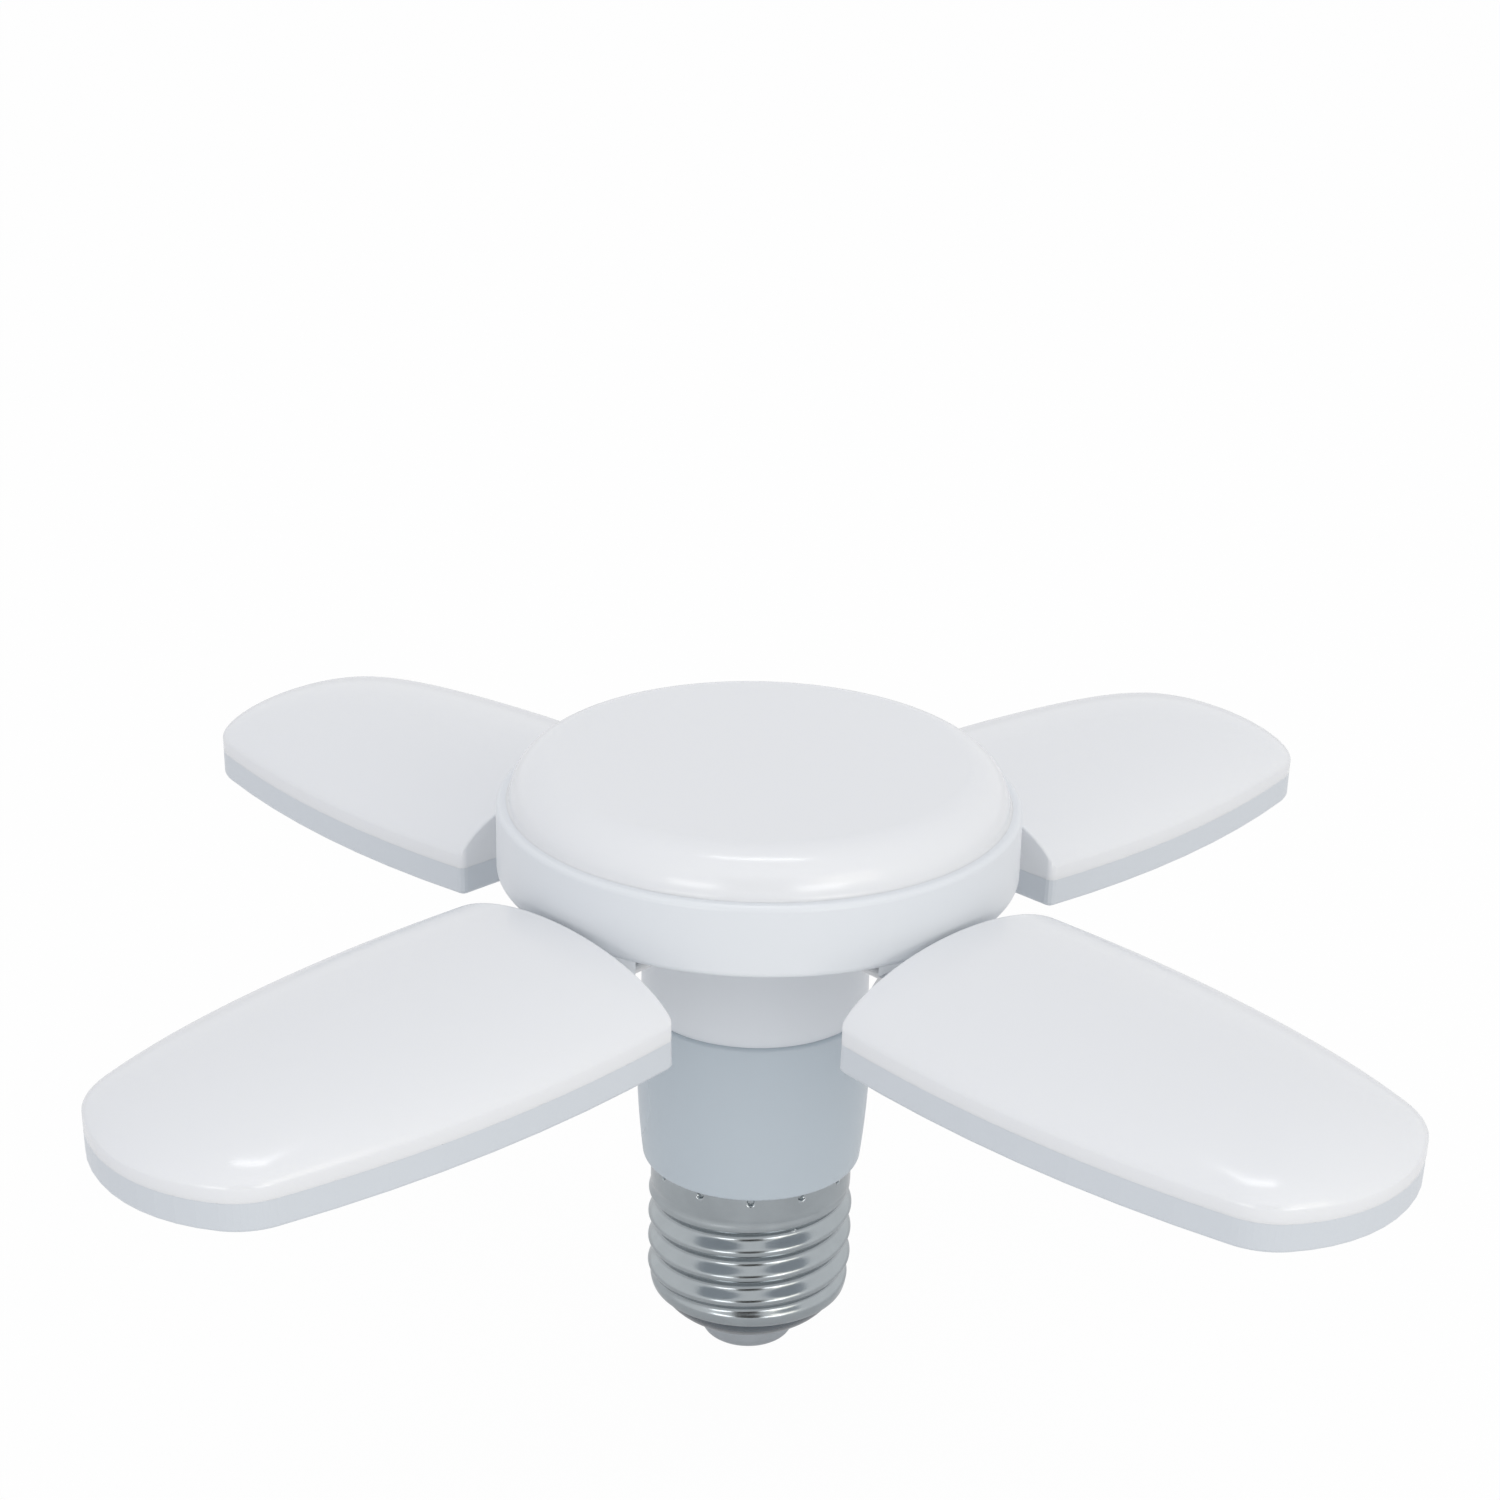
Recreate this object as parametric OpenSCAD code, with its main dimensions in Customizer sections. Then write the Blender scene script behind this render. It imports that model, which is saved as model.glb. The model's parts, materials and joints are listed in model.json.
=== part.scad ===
// Folding LED lamp with four hinged wings round a disc light, on an E27 screw cap.
// The lamp stands on its cap: Z = 0 is the tip of the centre contact and +Z runs up
// to the disc light. The wings lie along +X, +Y, -X and -Y and fold down round the neck.

/* [Screw cap] */
// Major diameter of the rolled thread
thread_d = 26.45; // [26:0.05:26.8]
// Depth of the thread from crest to root
thread_depth = 1.15; // [0.8:0.05:1.3]
// Rise of the thread in one turn
thread_pitch = 3.63; // [3.4:0.01:3.9]
// Number of crests that show on one side
thread_crests = 4; // [3:1:4]
// Height of the lowest crest, seen from the front
thread_z = 11.63; // [11.2:0.01:11.9]
// Thickness of the sheet metal of the shell
shell_wall = 0.35; // [0.25:0.05:0.45]
// Diameter of the smooth collar above the thread
collar_d = 25.9; // [25.2:0.1:26.2]
// Height of the whole cap above the contact's tip
cap_h = 27; // [26.5:0.25:29]
// Height of the bottom edge of the shell
shell_z0 = 7.8; // [7:0.1:8.2]
// Number of punch marks round the collar
punch_count = 12; // [8:1:16]
// Distance from the collar's top edge down to the punch marks
punch_drop = 0.75; // [0.6:0.05:1.2]
// Diameter of the centre contact
contact_d = 12; // [10:0.1:12.4]
// Height of the centre contact
contact_h = 3.4; // [2.6:0.1:3.6]

/* [Neck] */
// Diameter at the top of the lower neck
neck_d = 29.8; // [29:0.1:31]
// Length of the lower neck
neck_h = 21.9; // [20:0.1:26]
// Thickness of the neck's wall
neck_wall = 1.7; // [1.4:0.1:2]
// Radius of the neck's rounded bottom edge
neck_round = 0.6; // [0.4:0.05:0.8]
// How much the neck's radius shrinks towards its foot
neck_taper = 0.85; // [0.4:0.05:1.2]
// Height of the tapered stretch above the rounded edge
neck_taper_h = 14.3; // [10:0.1:18]
// Length of the spigot that the cap is punched onto
spigot_h = 11; // [8:0.5:12]
// Diameter of the hub's sleeve above the lower neck
sleeve_d = 28.8; // [28.4:0.1:29.4]
// Length of the hub's sleeve
sleeve_h = 18.1; // [16:0.1:21]
// Length of the sleeve's plug inside the neck
plug_h = 6; // [4:0.5:8]

/* [Disc light] */
// Diameter of the hub's rim
rim_d = 65; // [62:0.5:70]
// Height of the rim's band
rim_h = 9.2; // [8.6:0.1:11]
// Thickness of the rim's wall
rim_wall = 1.5; // [1.2:0.1:2]
// Rounding of the rim's edges
rim_round = 0.7; // [0.3:0.1:0.7]
// Thickness of the hub's floor
hub_floor = 1.8; // [1.4:0.1:2.4]
// Depth of the disc board below the rim's top edge
board_depth = 2.3; // [2:0.1:3]
// Radius of the disc diffuser's rounded shoulder
dome_shoulder = 5.4; // [4:0.1:7]
// Thickness of the disc diffuser
dome_wall = 1.4; // [1:0.1:2]
// Thickness of the light boards
board_t = 1.2; // [1:0.1:1.3]
// Distance of the disc board's screws from the centre
disc_screw_r = 25.6; // [24.5:0.1:26]

/* [Wings] */
// Gap between the rim and the inner end of a wing
wing_gap = 0.8; // [0.6:0.1:2]
// Length of a wing
wing_len = 63.4; // [56:0.1:70]
// Greatest width of a wing
wing_w = 41.4; // [38:0.1:44]
// Distance from the inner end to the widest place
wing_widest = 15.7; // [10:0.1:20]
// Radius of a wing's bowed sides
side_bow = 159; // [140:1:220]
// Radius of a wing's blunt tip
tip_bow = 22; // [19:0.5:26]
// Radius of the corners between the sides and the tip
corner_r = 8.8; // [7:0.1:11]
// Radius of the corners at a wing's inner end
end_round = 1; // [0.6:0.1:3]
// Height of the back shell up to the seam
back_h = 3.7; // [3.5:0.1:4.5]
// Thickness of the back shell
back_wall = 1.5; // [1.2:0.1:1.8]
// Rounding of the back shell's lower edge
back_round = 0.5; // [0.3:0.1:1.1]
// Height of the diffuser's upright side above the seam
side_h = 1.6; // [1.2:0.1:2.4]
// Rise of the diffuser's crown above its side
crown_h = 6.7; // [5:0.1:8]
// Thickness of the wing diffuser
diffuser_wall = 1.4; // [1:0.1:1.8]
// Depth of the diffuser's lip inside the back shell
lip_h = 1; // [0.6:0.1:1.2]
// Droop of the wings below level
wing_droop = 2; // [0:0.5:3]

/* [Hinges] */
// Distance of the hinge axis below the rim
hinge_drop = 5.5; // [5.2:0.1:6.5]
// Distance of the hinge axis above the wing's back
hinge_rise = 3.5; // [3.4:0.1:3.8]
// Radius of the hinge ears
ear_r = 3.3; // [3:0.1:3.5]
// Thickness of one ear
ear_t = 1.8; // [1.6:0.1:2.6]
// Width over the wing's two knuckles
knuckle_w = 6.4; // [6.2:0.1:8]
// Width of the wire gap between the knuckles
wire_gap = 3.2; // [3:0.1:3.4]
// Diameter of the hinge screw
screw_d = 2.5; // [2:0.1:2.6]
// Diameter of the hinge screw's head
screw_head_d = 4.8; // [4.4:0.1:5.2]
// Height of the hinge screw's head
screw_head_h = 1.6; // [1.2:0.1:2]
// Width of the nut across its flats
nut_af = 5; // [4.6:0.1:5.2]
// Height of the nut
nut_h = 2; // [1.6:0.1:2.4]
// Thickness of the friction washers
washer_t = 0.35; // [0.3:0.05:0.5]
// Outer diameter of the friction washers
washer_d = 5.6; // [5:0.1:6]

/* [Light emitters] */
// Length of one emitter
led_l = 3.5; // [3:0.1:4]
// Width of one emitter
led_w = 2.8; // [2.4:0.1:3]
// Height of one emitter
led_h = 0.8; // [0.6:0.1:1]
// Emitters along each row of a wing
wing_led_columns = 8; // [6:1:8]
// Distance between the rows of a wing's emitters
wing_led_pitch = 9.5; // [8:0.1:10]
// Emitters in the disc's inner ring
inner_led_count = 8; // [6:1:10]
// Emitters in the disc's outer ring
outer_led_count = 15; // [12:3:15]

/* [Driver] */
// Width of the driver board
driver_w = 18.6; // [17.6:0.1:19]
// Thickness of the driver board
driver_t = 1.2; // [1:0.1:1.6]
// Height of the driver board's lower end
driver_z0 = 19.5; // [19:0.5:21]
// Height of the driver board's upper end, below the rim
driver_top_drop = 5.3; // [5:0.1:5.8]
// Diameter of the leads over their insulation
lead_d = 1; // [0.8:0.05:1]
// Diameter of the electrolytic capacitor
can_d = 8; // [6.3:0.1:8.2]
// Length of the electrolytic capacitor
can_l = 12; // [10:0.5:13]
// Diameter of the drum inductor
drum_d = 8; // [6:0.1:9]
// Height of the drum inductor
drum_h = 7; // [5:0.1:7.5]

/* [Hidden] */
$fn = 96;

// Clearances, each measured on the radius or on one face
running = 0.05;         // hinge screw in its bores, washer to knuckle
fixed_fit = 0.05;       // pieces pushed or screwed into each other
loose_fit = 0.2;        // boards in their housings
cut = 1;                // how far a cutting body runs past what it cuts

// Heights of the main joints between the pieces
neck_z1 = cap_h + neck_h;
rim_z0 = neck_z1 + sleeve_h;
rim_z1 = rim_z0 + rim_h;
floor_z1 = rim_z0 + hub_floor;
disc_z1 = rim_z1 - board_depth;
disc_z0 = disc_z1 - board_t;
hinge_z = rim_z0 - hinge_drop;

// Screw cap
collar_z0 = thread_z + (thread_crests - 0.75) * thread_pitch;
thread_phase = 224.5;   // direction that the crests are counted from
thread_root_r = thread_d / 2 - thread_depth;
shell_bore_r = thread_root_r - shell_wall;
collar_bore_r = collar_d / 2 - shell_wall;
foot_h = 2.4;           // height of the rounded lower edge of the shell
foot_r = shell_bore_r + 0.65;
foot_bulge = thread_d / 2 - 0.275;
foot_fade_z = shell_z0 + 1.2;   // where the foot begins to turn into the thread
foot_fade_h = 1.9;
collar_fade_h = 2.4;    // height over which the thread runs out below the collar
insulator_flange = 1.6; // height of the insulator's flange inside the shell
insulator_r1 = shell_bore_r - fixed_fit;
insulator_rim_r = foot_r - 0.375;
insulator_steps = 6;
contact_r = contact_d / 2;
contact_wall = 0.7;
contact_floor = 1;
contact_flat = 0.57;    // share of the contact's radius that is flat
eyelet_r = 1.6;
eyelet_z1 = contact_h + 2.2;
lead_r = lead_d / 2;
punch_r = 0.5;
punch_angle = 15;       // direction of the first punch mark
solder_hole_r = 0.3;
solder_hole_angle = 252.5;
solder_hole_z = 21.4;

// Upper end of the driver board
driver_z1 = rim_z0 - driver_top_drop;

// Neck and sleeve
neck_r = neck_d / 2;
neck_bore_r = neck_r - neck_wall;
neck_foot_r = neck_r - neck_taper - neck_round;
neck_taper_steps = 8;
neck_floor = 2;         // thickness of the neck's floor on the cap
spigot_wall = 1.3;
spigot_r = shell_bore_r - fixed_fit;
spigot_collar_r = collar_bore_r - fixed_fit;
spigot_bore_r = spigot_r - spigot_wall;
sleeve_r = sleeve_d / 2;
plug_r = neck_bore_r - fixed_fit;
sleeve_bore_r = min(plug_r, sleeve_r) - 1.2;
guide_w = 3.4;          // width of the ribs that hold the driver board
guide_groove = driver_t + 2 * fixed_fit;
guide_r = driver_w / 2 - 1;

// Rim and disc light
rim_r = rim_d / 2;
rim_bore_r = rim_r - rim_wall;
ledge_w = 2.4;
boss_r = 2.3;
disc_board_r = rim_bore_r - loose_fit;
dome_r = rim_bore_r - fixed_fit;
dome_flat_r = dome_r - dome_shoulder;
dome_crown = 0.25;      // rise of the flat top towards its middle

// Small self-tapping screws of the boards
tapping_r = 0.9;
tapping_head_r = 1.9;
tapping_head_h = 1.1;
tapping_l = 3.8;
pilot_r = tapping_r + fixed_fit;
board_hole_r = 1.2;

// Hinges
hinge_r = rim_r - ear_r;
knuckle_r = ear_r - 0.1;
knuckle_half = knuckle_w / 2;
ear_in = knuckle_half + washer_t + running;
ear_out = ear_in + ear_t;
screw_r = screw_d / 2;
bore_r = screw_r + running;
screw_end = 0.8;        // how far the screw stands out of its nut
wire_z = -(screw_r + lead_r + 0.12);   // lead below the hinge axis
wire_t = lead_r + 0.1;  // each wire of a lead, from the middle
wire_core_r = 0.3;
wire_start = 0.1;       // gap between the driver board and a drooping lead
wire_inside = 3;        // length of a lead under the wing's board

// Wings, in the frame of the wing along +X before it droops
wing_r0 = rim_r + wing_gap;
wing_r1 = wing_r0 + wing_len;
wing_z0 = hinge_z - hinge_rise;
seam_z = wing_z0 + back_h;
side_z = seam_z + side_h;
back_floor = 1.1;
wing_board_inset = back_wall + fixed_fit + 1.1;
wing_board_z1 = seam_z - 0.2;
wing_board_z0 = wing_board_z1 - board_t;
lip_t = 0.8;
lip_inset = back_wall + fixed_fit;
crown_power = 0.61;     // how round the crown is from side to side
tip_order = 7.7;        // how far along the wing the crown stays level
tip_power = 0.8;
wing_mid = wing_r0 + wing_len * 0.45;
screw_margin = 10;      // from the wing's inner end to the first board screw
screw_tip_margin = 15;  // from the last board screw to the wing's tip
wing_screw_a = wing_r0 + screw_margin;
wing_screw_b = wing_r1 - screw_tip_margin;
led_margin = 7;         // from the wing's inner end to the first emitters
led_tip_margin = 12;    // from the last emitters to the wing's tip

// Centres of the arcs of the wing's outline
bow_x = wing_r0 + wing_widest;
bow_y = wing_w / 2 - side_bow;
tip_x = wing_r1 - tip_bow;
arc_gap = norm([tip_x - bow_x, -bow_y]);
bow_dx = (tip_x - bow_x) / arc_gap;
bow_dy = -bow_y / arc_gap;
reach_a = side_bow - corner_r;
reach_b = tip_bow - corner_r;
along = (reach_a * reach_a - reach_b * reach_b + arc_gap * arc_gap) / (2 * arc_gap);
aside = sqrt(reach_a * reach_a - along * along);
corner_x = bow_x + along * bow_dx + aside * bow_dy;
corner_y = bow_y + along * bow_dy - aside * bow_dx;
bow_end = atan2(corner_y - bow_y, corner_x - bow_x);
corner_end = atan2(corner_y, corner_x - tip_x);

// Driver parts, all measured from the board's faces
can_drop = 12.2;
can_z = driver_z1 - can_drop;
drum_rise = 14.5;
drum_z = driver_z0 + drum_rise;
film_size = [8, 4.2, 9];
film_drop = 15.2;
film_z = driver_z1 - film_drop;
bridge_size = [4.7, 1.5, 3.9];
bridge_rise = 6.5;
bridge_z = driver_z0 + bridge_rise;
chip_size = [5, 1.5, 3.9];
chip_rise = 16.5;
chip_z = driver_z0 + chip_rise;
fuse_r = 1.5;
fuse_l = 6.4;
fuse_rise = 6;
fuse_z = driver_z0 + fuse_rise;

plastic = "whitesmoke";
milky = "ghostwhite";
metal = "silver";

// Direction of wing k, counted from 1
function wing_angle(k) = 90 * (k - 1);

// The point at share f of the curve from a to c that b pulls towards itself
function curve_point(a, b, c, f) = (1 - f) * (1 - f) * a + 2 * f * (1 - f) * b + f * f * c;

// An arc about [x, y] from angle a to angle b in n steps, without its first point
function arc(x, y, r, a, b, n) =
    [for (i = [1:n]) let (t = a + (b - a) * i / n) [x + r * cos(t), y + r * sin(t)]];

// Upper half of a wing's outline, drawn in by d, from the inner end to the tip
function half_outline(d) =
    let (
        r = max(end_round - d, 0.1),
        x = wing_r0 + d + r,
        y = bow_y + sqrt(pow(side_bow - d - r, 2) - pow(x - bow_x, 2)),
        start = atan2(y - bow_y, x - bow_x)
    )
    concat(
        [[wing_r0 + d, y]],
        arc(x, y, r, 180, start, 3),
        arc(bow_x, bow_y, side_bow - d, start, bow_end, 8),
        arc(corner_x, corner_y, corner_r - d, bow_end, corner_end, 8),
        arc(tip_x, 0, tip_bow - d, corner_end, 0, 5)
    );

// The whole outline, with end_points more along the straight inner end
end_points = 11;
function outline(d) =
    let (
        half = half_outline(d),
        n = len(half),
        w = half[0][1]
    )
    concat(
        half,
        [for (i = [n - 2:-1:0]) [half[i][0], -half[i][1]]],
        [for (i = [1:end_points]) [wing_r0 + d, -w * cos(180 * i / (end_points + 1))]]
    );

// Half the wing's width at distance x, drawn in by d
function half_width(x, d) =
    x < bow_x + (side_bow - d) * cos(bow_end)
        ? bow_y + sqrt(pow(side_bow - d, 2) - pow(x - bow_x, 2))
        : x < corner_x + (corner_r - d) * cos(corner_end)
            ? corner_y + sqrt(max(0, pow(corner_r - d, 2) - pow(x - corner_x, 2)))
            : sqrt(max(0, pow(tip_bow - d, 2) - pow(x - tip_x, 2)));

// Share of the crown's full rise at a point of the wing
function crown(x, y, d) =
    let (
        w = half_width(x, d),
        u = w > 0 ? min(1, abs(y) / w) : 1,
        v = min(1, max(0, (x - wing_r0 - d) / (wing_len - 2 * d)))
    )
    pow(1 - u * u, crown_power) * pow(1 - pow(v, tip_order), tip_power);

// One ring of the crowned surface: the outline shrunk by s towards the wing's middle
function crown_ring(d, s, z, rise) =
    [for (p = outline(d))
        let (
            x = wing_mid + s * (p[0] - wing_mid),
            y = s * p[1]
        )
        [x, y, z + rise * crown(x, y, d)]];

function flat_ring(d, z) = [for (p = outline(d)) [p[0], p[1], z]];

// Triangles between ring a and ring b of n points each
function strip(a, b, n) =
    [for (i = [0:n - 1])
        let (j = (i + 1) % n)
        each [[a * n + i, a * n + j, b * n + j], [a * n + i, b * n + j, b * n + i]]];

// Solid between rings that all have n points, closed by a point at each end
module ring_body(rings, first, last) {
    n = len(rings[0]);
    m = len(rings);
    points = concat([for (r = rings) each r], [first, last]);
    ends = [for (i = [0:n - 1])
        let (j = (i + 1) % n)
        each [[m * n, j, i], [m * n + 1, (m - 1) * n + i, (m - 1) * n + j]]];
    walls = [for (k = [0:m - 2]) each strip(k, k + 1, n)];
    polyhedron(points = points, faces = [for (f = concat(ends, walls)) [f[2], f[1], f[0]]]);
}

// Places its children as wing k, level or drooping about the hinge
module at_wing(k, droop = wing_droop) {
    rotate([0, 0, wing_angle(k)])
        translate([hinge_r, 0, hinge_z])
            rotate([0, droop, 0])
                translate([-hinge_r, 0, -hinge_z])
                    children();
}

// A cylinder along Y between y0 and y1, through [x, z]
module bar_y(x, z, y0, y1, r, sides = $fn) {
    translate([x, y0, z])
        rotate([-90, 0, 0])
            cylinder(h = y1 - y0, r = r, $fn = sides);
}

module tapping_screw(x, y, z) {
    translate([x, y, z]) {
        translate([0, 0, -tapping_l + tapping_head_h])
            cylinder(h = tapping_l - tapping_head_h + fixed_fit, r = tapping_r, $fn = 32);
        difference() {
            intersection() {
                cylinder(h = tapping_head_h, r = tapping_head_r, $fn = 48);
                translate([0, 0, -1.6])
                    sphere(r = tapping_head_h + 1.6, $fn = 64);
            }
            for (a = [0, 90])
                rotate([0, 0, a])
                    translate([-1.1, -0.2, tapping_head_h - 0.5])
                        cube([2.2, 0.4, 1]);
        }
    }
}

// ---- Screw cap ----

module centre_contact() {
    cup_r = contact_r - contact_wall;
    color(metal)
        rotate_extrude()
            polygon(concat(
                [[0, 0], [contact_r * contact_flat, 0]],
                [for (i = [1:6])
                    let (t = 15 * i)
                    [contact_r * mix(contact_flat, 1, sin(t)), contact_h * 0.5 * (1 - cos(t))]],
                [[contact_r, contact_h], [cup_r, contact_h], [cup_r, contact_floor],
                 [eyelet_r, contact_floor], [eyelet_r, eyelet_z1],
                 [lead_r + fixed_fit, eyelet_z1], [lead_r + fixed_fit, contact_floor + 0.6],
                 [0, contact_floor + 0.6]]
            ));
}

module cap_insulator() {
    nose_r = contact_r - contact_wall - fixed_fit;
    flange_z = shell_z0 + insulator_flange;
    start = [contact_r + 0.1, contact_h + 0.1];
    pull = [contact_r + 4.4, contact_h + 0.9];
    rim = [insulator_rim_r, shell_z0];
    color("slategray")
        rotate_extrude()
            polygon(concat(
                [[eyelet_r + fixed_fit, contact_floor], [nose_r, contact_floor],
                 [nose_r, contact_h], [start[0], contact_h]],
                [for (i = [0:insulator_steps]) curve_point(start, pull, rim, i / insulator_steps)],
                [[insulator_r1, shell_z0], [insulator_r1, flange_z],
                 [insulator_r1 - 1.6, flange_z], [insulator_r1 - 3.6, flange_z - 1.6],
                 [eyelet_r + fixed_fit, eyelet_z1 - 0.4]]
            ));
}

// Rolled metal shell: a helical wave on a cylinder, with a smooth collar above it
shell_steps = 48;
shell_levels = 37;
function smooth(x) = let (t = min(1, max(0, x))) t * t * (3 - 2 * t);
function mix(a, b, f) = a + (b - a) * f;
function shell_r(a, z) =
    let (
        wave = 0.5 + 0.5 * cos(360 * (z - thread_z) / thread_pitch - (a - thread_phase)),
        thread_r = thread_root_r + thread_depth * wave,
        rise = min(1, (z - shell_z0) / foot_h),
        low_r = mix(foot_r, foot_bulge, sqrt(1 - pow(1 - rise, 2))),
        high_r = collar_d / 2 - 0.15
    )
    mix(high_r, mix(low_r, thread_r, smooth((z - foot_fade_z) / foot_fade_h)),
        smooth((collar_z0 - z) / collar_fade_h));

module screw_shell() {
    top = collar_z0 + 0.3;
    rings = [for (i = [0:shell_levels])
        let (z = mix(shell_z0, top, i / shell_levels))
        [for (s = [0:shell_steps - 1])
            let (
                a = 360 * s / shell_steps,
                r = shell_r(a, z)
            )
            [r * cos(a), r * sin(a), z]]];
    color(metal)
        difference() {
            union() {
                ring_body(rings, [0, 0, shell_z0], [0, 0, top]);
                translate([0, 0, collar_z0])
                    cylinder(h = cap_h - collar_z0, r = collar_d / 2);
            }
            translate([0, 0, shell_z0 - cut])
                cylinder(h = cap_h, r = shell_bore_r);
            translate([0, 0, collar_z0 + 0.5])
                cylinder(h = cap_h, r = collar_bore_r);
            for (i = [0:punch_count - 1])
                rotate([0, 0, punch_angle + 360 * i / punch_count])
                    translate([collar_d / 2 + 0.25, 0, cap_h - punch_drop])
                        sphere(r = punch_r, $fn = 16);
            rotate([0, 0, solder_hole_angle])
                translate([thread_d / 2 - 2.5, 0, solder_hole_z])
                    rotate([0, 90, 0])
                        cylinder(h = 4, r = solder_hole_r, $fn = 24);
        }
}

// ---- Neck ----

module neck_housing() {
    color("lightsteelblue")
        difference() {
            union() {
                rotate_extrude()
                    difference() {
                        polygon(concat(
                            [[0, cap_h], [neck_foot_r, cap_h]],
                            arc(neck_foot_r, cap_h + neck_round, neck_round, -90, 0, 4),
                            [for (i = [1:neck_taper_steps])
                                let (f = i / neck_taper_steps)
                                [neck_r - neck_taper * (1 - f) * (1 - f),
                                 cap_h + neck_round + neck_taper_h * f]],
                            [[neck_r, neck_z1], [0, neck_z1]]
                        ));
                        translate([0, cap_h + neck_floor])
                            square([neck_bore_r, neck_h]);
                        translate([0, cap_h - cut])
                            square([spigot_bore_r, neck_h]);
                    }
                rotate_extrude()
                    polygon([
                        [spigot_bore_r, cap_h], [spigot_collar_r, cap_h],
                        [spigot_collar_r, collar_z0 + 1.2], [spigot_r, collar_z0 + 0.55],
                        [spigot_r, cap_h - spigot_h], [spigot_bore_r, cap_h - spigot_h]
                    ]);
                for (a = [0, 180])
                    rotate([0, 0, a])
                        translate([guide_r, -guide_w / 2, cap_h + neck_floor - fixed_fit])
                            cube([neck_bore_r - guide_r + 0.3, guide_w, neck_h - plug_h - 4]);
                for (a = [0, 180])
                    rotate([0, 0, a])
                        translate([guide_r, -guide_w / 2, cap_h - spigot_h])
                            cube([spigot_bore_r - guide_r + 0.3, guide_w,
                                spigot_h + neck_floor]);
            }
            translate([-driver_w / 2 - fixed_fit, -guide_groove / 2, cap_h - spigot_h - cut])
                cube([driver_w + 2 * fixed_fit, guide_groove, neck_h + spigot_h]);
        }
}

// ---- Hub ----

module rim_profile() {
    r = rim_round;
    difference() {
        polygon(concat(
            [[0, rim_z0], [rim_r - r, rim_z0]],
            arc(rim_r - r, rim_z0 + r, r, -90, 0, 4),
            [[rim_r, rim_z1 - r]],
            arc(rim_r - r, rim_z1 - r, r, 0, 90, 4),
            [[0, rim_z1]]
        ));
        translate([0, floor_z1])
            square([rim_bore_r - ledge_w, rim_h]);
        translate([0, disc_z0])
            square([rim_bore_r, rim_h]);
        translate([0, rim_z0 - cut])
            square([sleeve_bore_r, rim_h]);
    }
}

// Passage for the two wires of a wing between distances x0 and x1
module wire_slot(x0, x1) {
    w = 2 * (wire_t + lead_r + 0.3);
    h = lead_d + 0.6;
    translate([x0, -w / 2, hinge_z + wire_z - h / 2])
        cube([x1 - x0, w, h]);
}

module hinge_ear(t0) {
    bar_y(hinge_r, hinge_z, t0, t0 + ear_t, ear_r);
    translate([hinge_r - ear_r, t0, hinge_z])
        cube([2 * ear_r, ear_t, rim_z0 - hinge_z + 0.9]);
}

module hub_housing() {
    color(plastic)
        difference() {
            union() {
                rotate_extrude(convexity = 6)
                    rim_profile();
                rotate_extrude()
                    polygon([
                        [sleeve_bore_r, neck_z1 - plug_h], [plug_r, neck_z1 - plug_h],
                        [plug_r, neck_z1], [sleeve_r, neck_z1],
                        [sleeve_r, rim_z0 + 0.5], [sleeve_bore_r, rim_z0 + 0.5]
                    ]);
                for (k = [1:3])
                    rotate([0, 0, 45 + 120 * k])
                        translate([disc_screw_r, 0, floor_z1 - 0.3])
                            cylinder(h = disc_z0 - floor_z1 + 0.3, r = boss_r, $fn = 48);
                intersection() {
                    for (k = [1:4])
                        rotate([0, 0, wing_angle(k)]) {
                            hinge_ear(ear_in);
                            hinge_ear(-ear_out);
                        }
                    cylinder(h = disc_z0, r = rim_r);
                }
            }
            for (k = [1:3])
                rotate([0, 0, 45 + 120 * k])
                    translate([disc_screw_r, 0, floor_z1 + 0.4])
                        cylinder(h = rim_h, r = pilot_r, $fn = 32);
            for (k = [1:4]) {
                at_wing(k, 0)
                    bar_y(hinge_r, hinge_z, -ear_out - cut, ear_out + cut, bore_r);
                at_wing(k)
                    wire_slot(sleeve_bore_r - 2, sleeve_r + 1);
            }
        }
}

// ---- Disc light ----

module disc_board() {
    color("gainsboro")
        translate([0, 0, disc_z0])
            difference() {
                cylinder(h = board_t, r = disc_board_r);
                for (k = [1:3])
                    rotate([0, 0, 45 + 120 * k])
                        translate([disc_screw_r, 0, -cut])
                            cylinder(h = board_t + 2 * cut, r = board_hole_r, $fn = 32);
                for (s = [-1, 1])
                    translate([s * 2.5, 0, -cut])
                        cylinder(h = board_t + 2 * cut, r = lead_r + fixed_fit, $fn = 32);
            }
}

module disc_leds() {
    inner_r = disc_screw_r * 0.42;
    outer_r = disc_screw_r - tapping_head_r - led_w / 2 - 0.4;
    color("khaki")
        for (ring = [[inner_r, inner_led_count, 0], [outer_r, outer_led_count, 0]])
            for (i = [0:ring[1] - 1])
                rotate([0, 0, 45 + 360 * (i + 0.5) / ring[1]])
                    translate([ring[0] - led_w / 2, -led_l / 2, disc_z1])
                        cube([led_w, led_l, led_h]);
}

module disc_board_screws() {
    color(metal)
        for (k = [1:3])
            rotate([0, 0, 45 + 120 * k])
                tapping_screw(disc_screw_r, 0, disc_z1);
}

// Cross-section of the dome, drawn in by d from its outside
function dome_profile(d) =
    concat(
        [for (i = [0:8])
            let (t = 90 * i / 8)
            [dome_flat_r + (dome_shoulder - d) * cos(t), rim_z1 + (dome_shoulder - d) * sin(t)]],
        [[0, rim_z1 + dome_shoulder + dome_crown - d]]
    );

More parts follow.
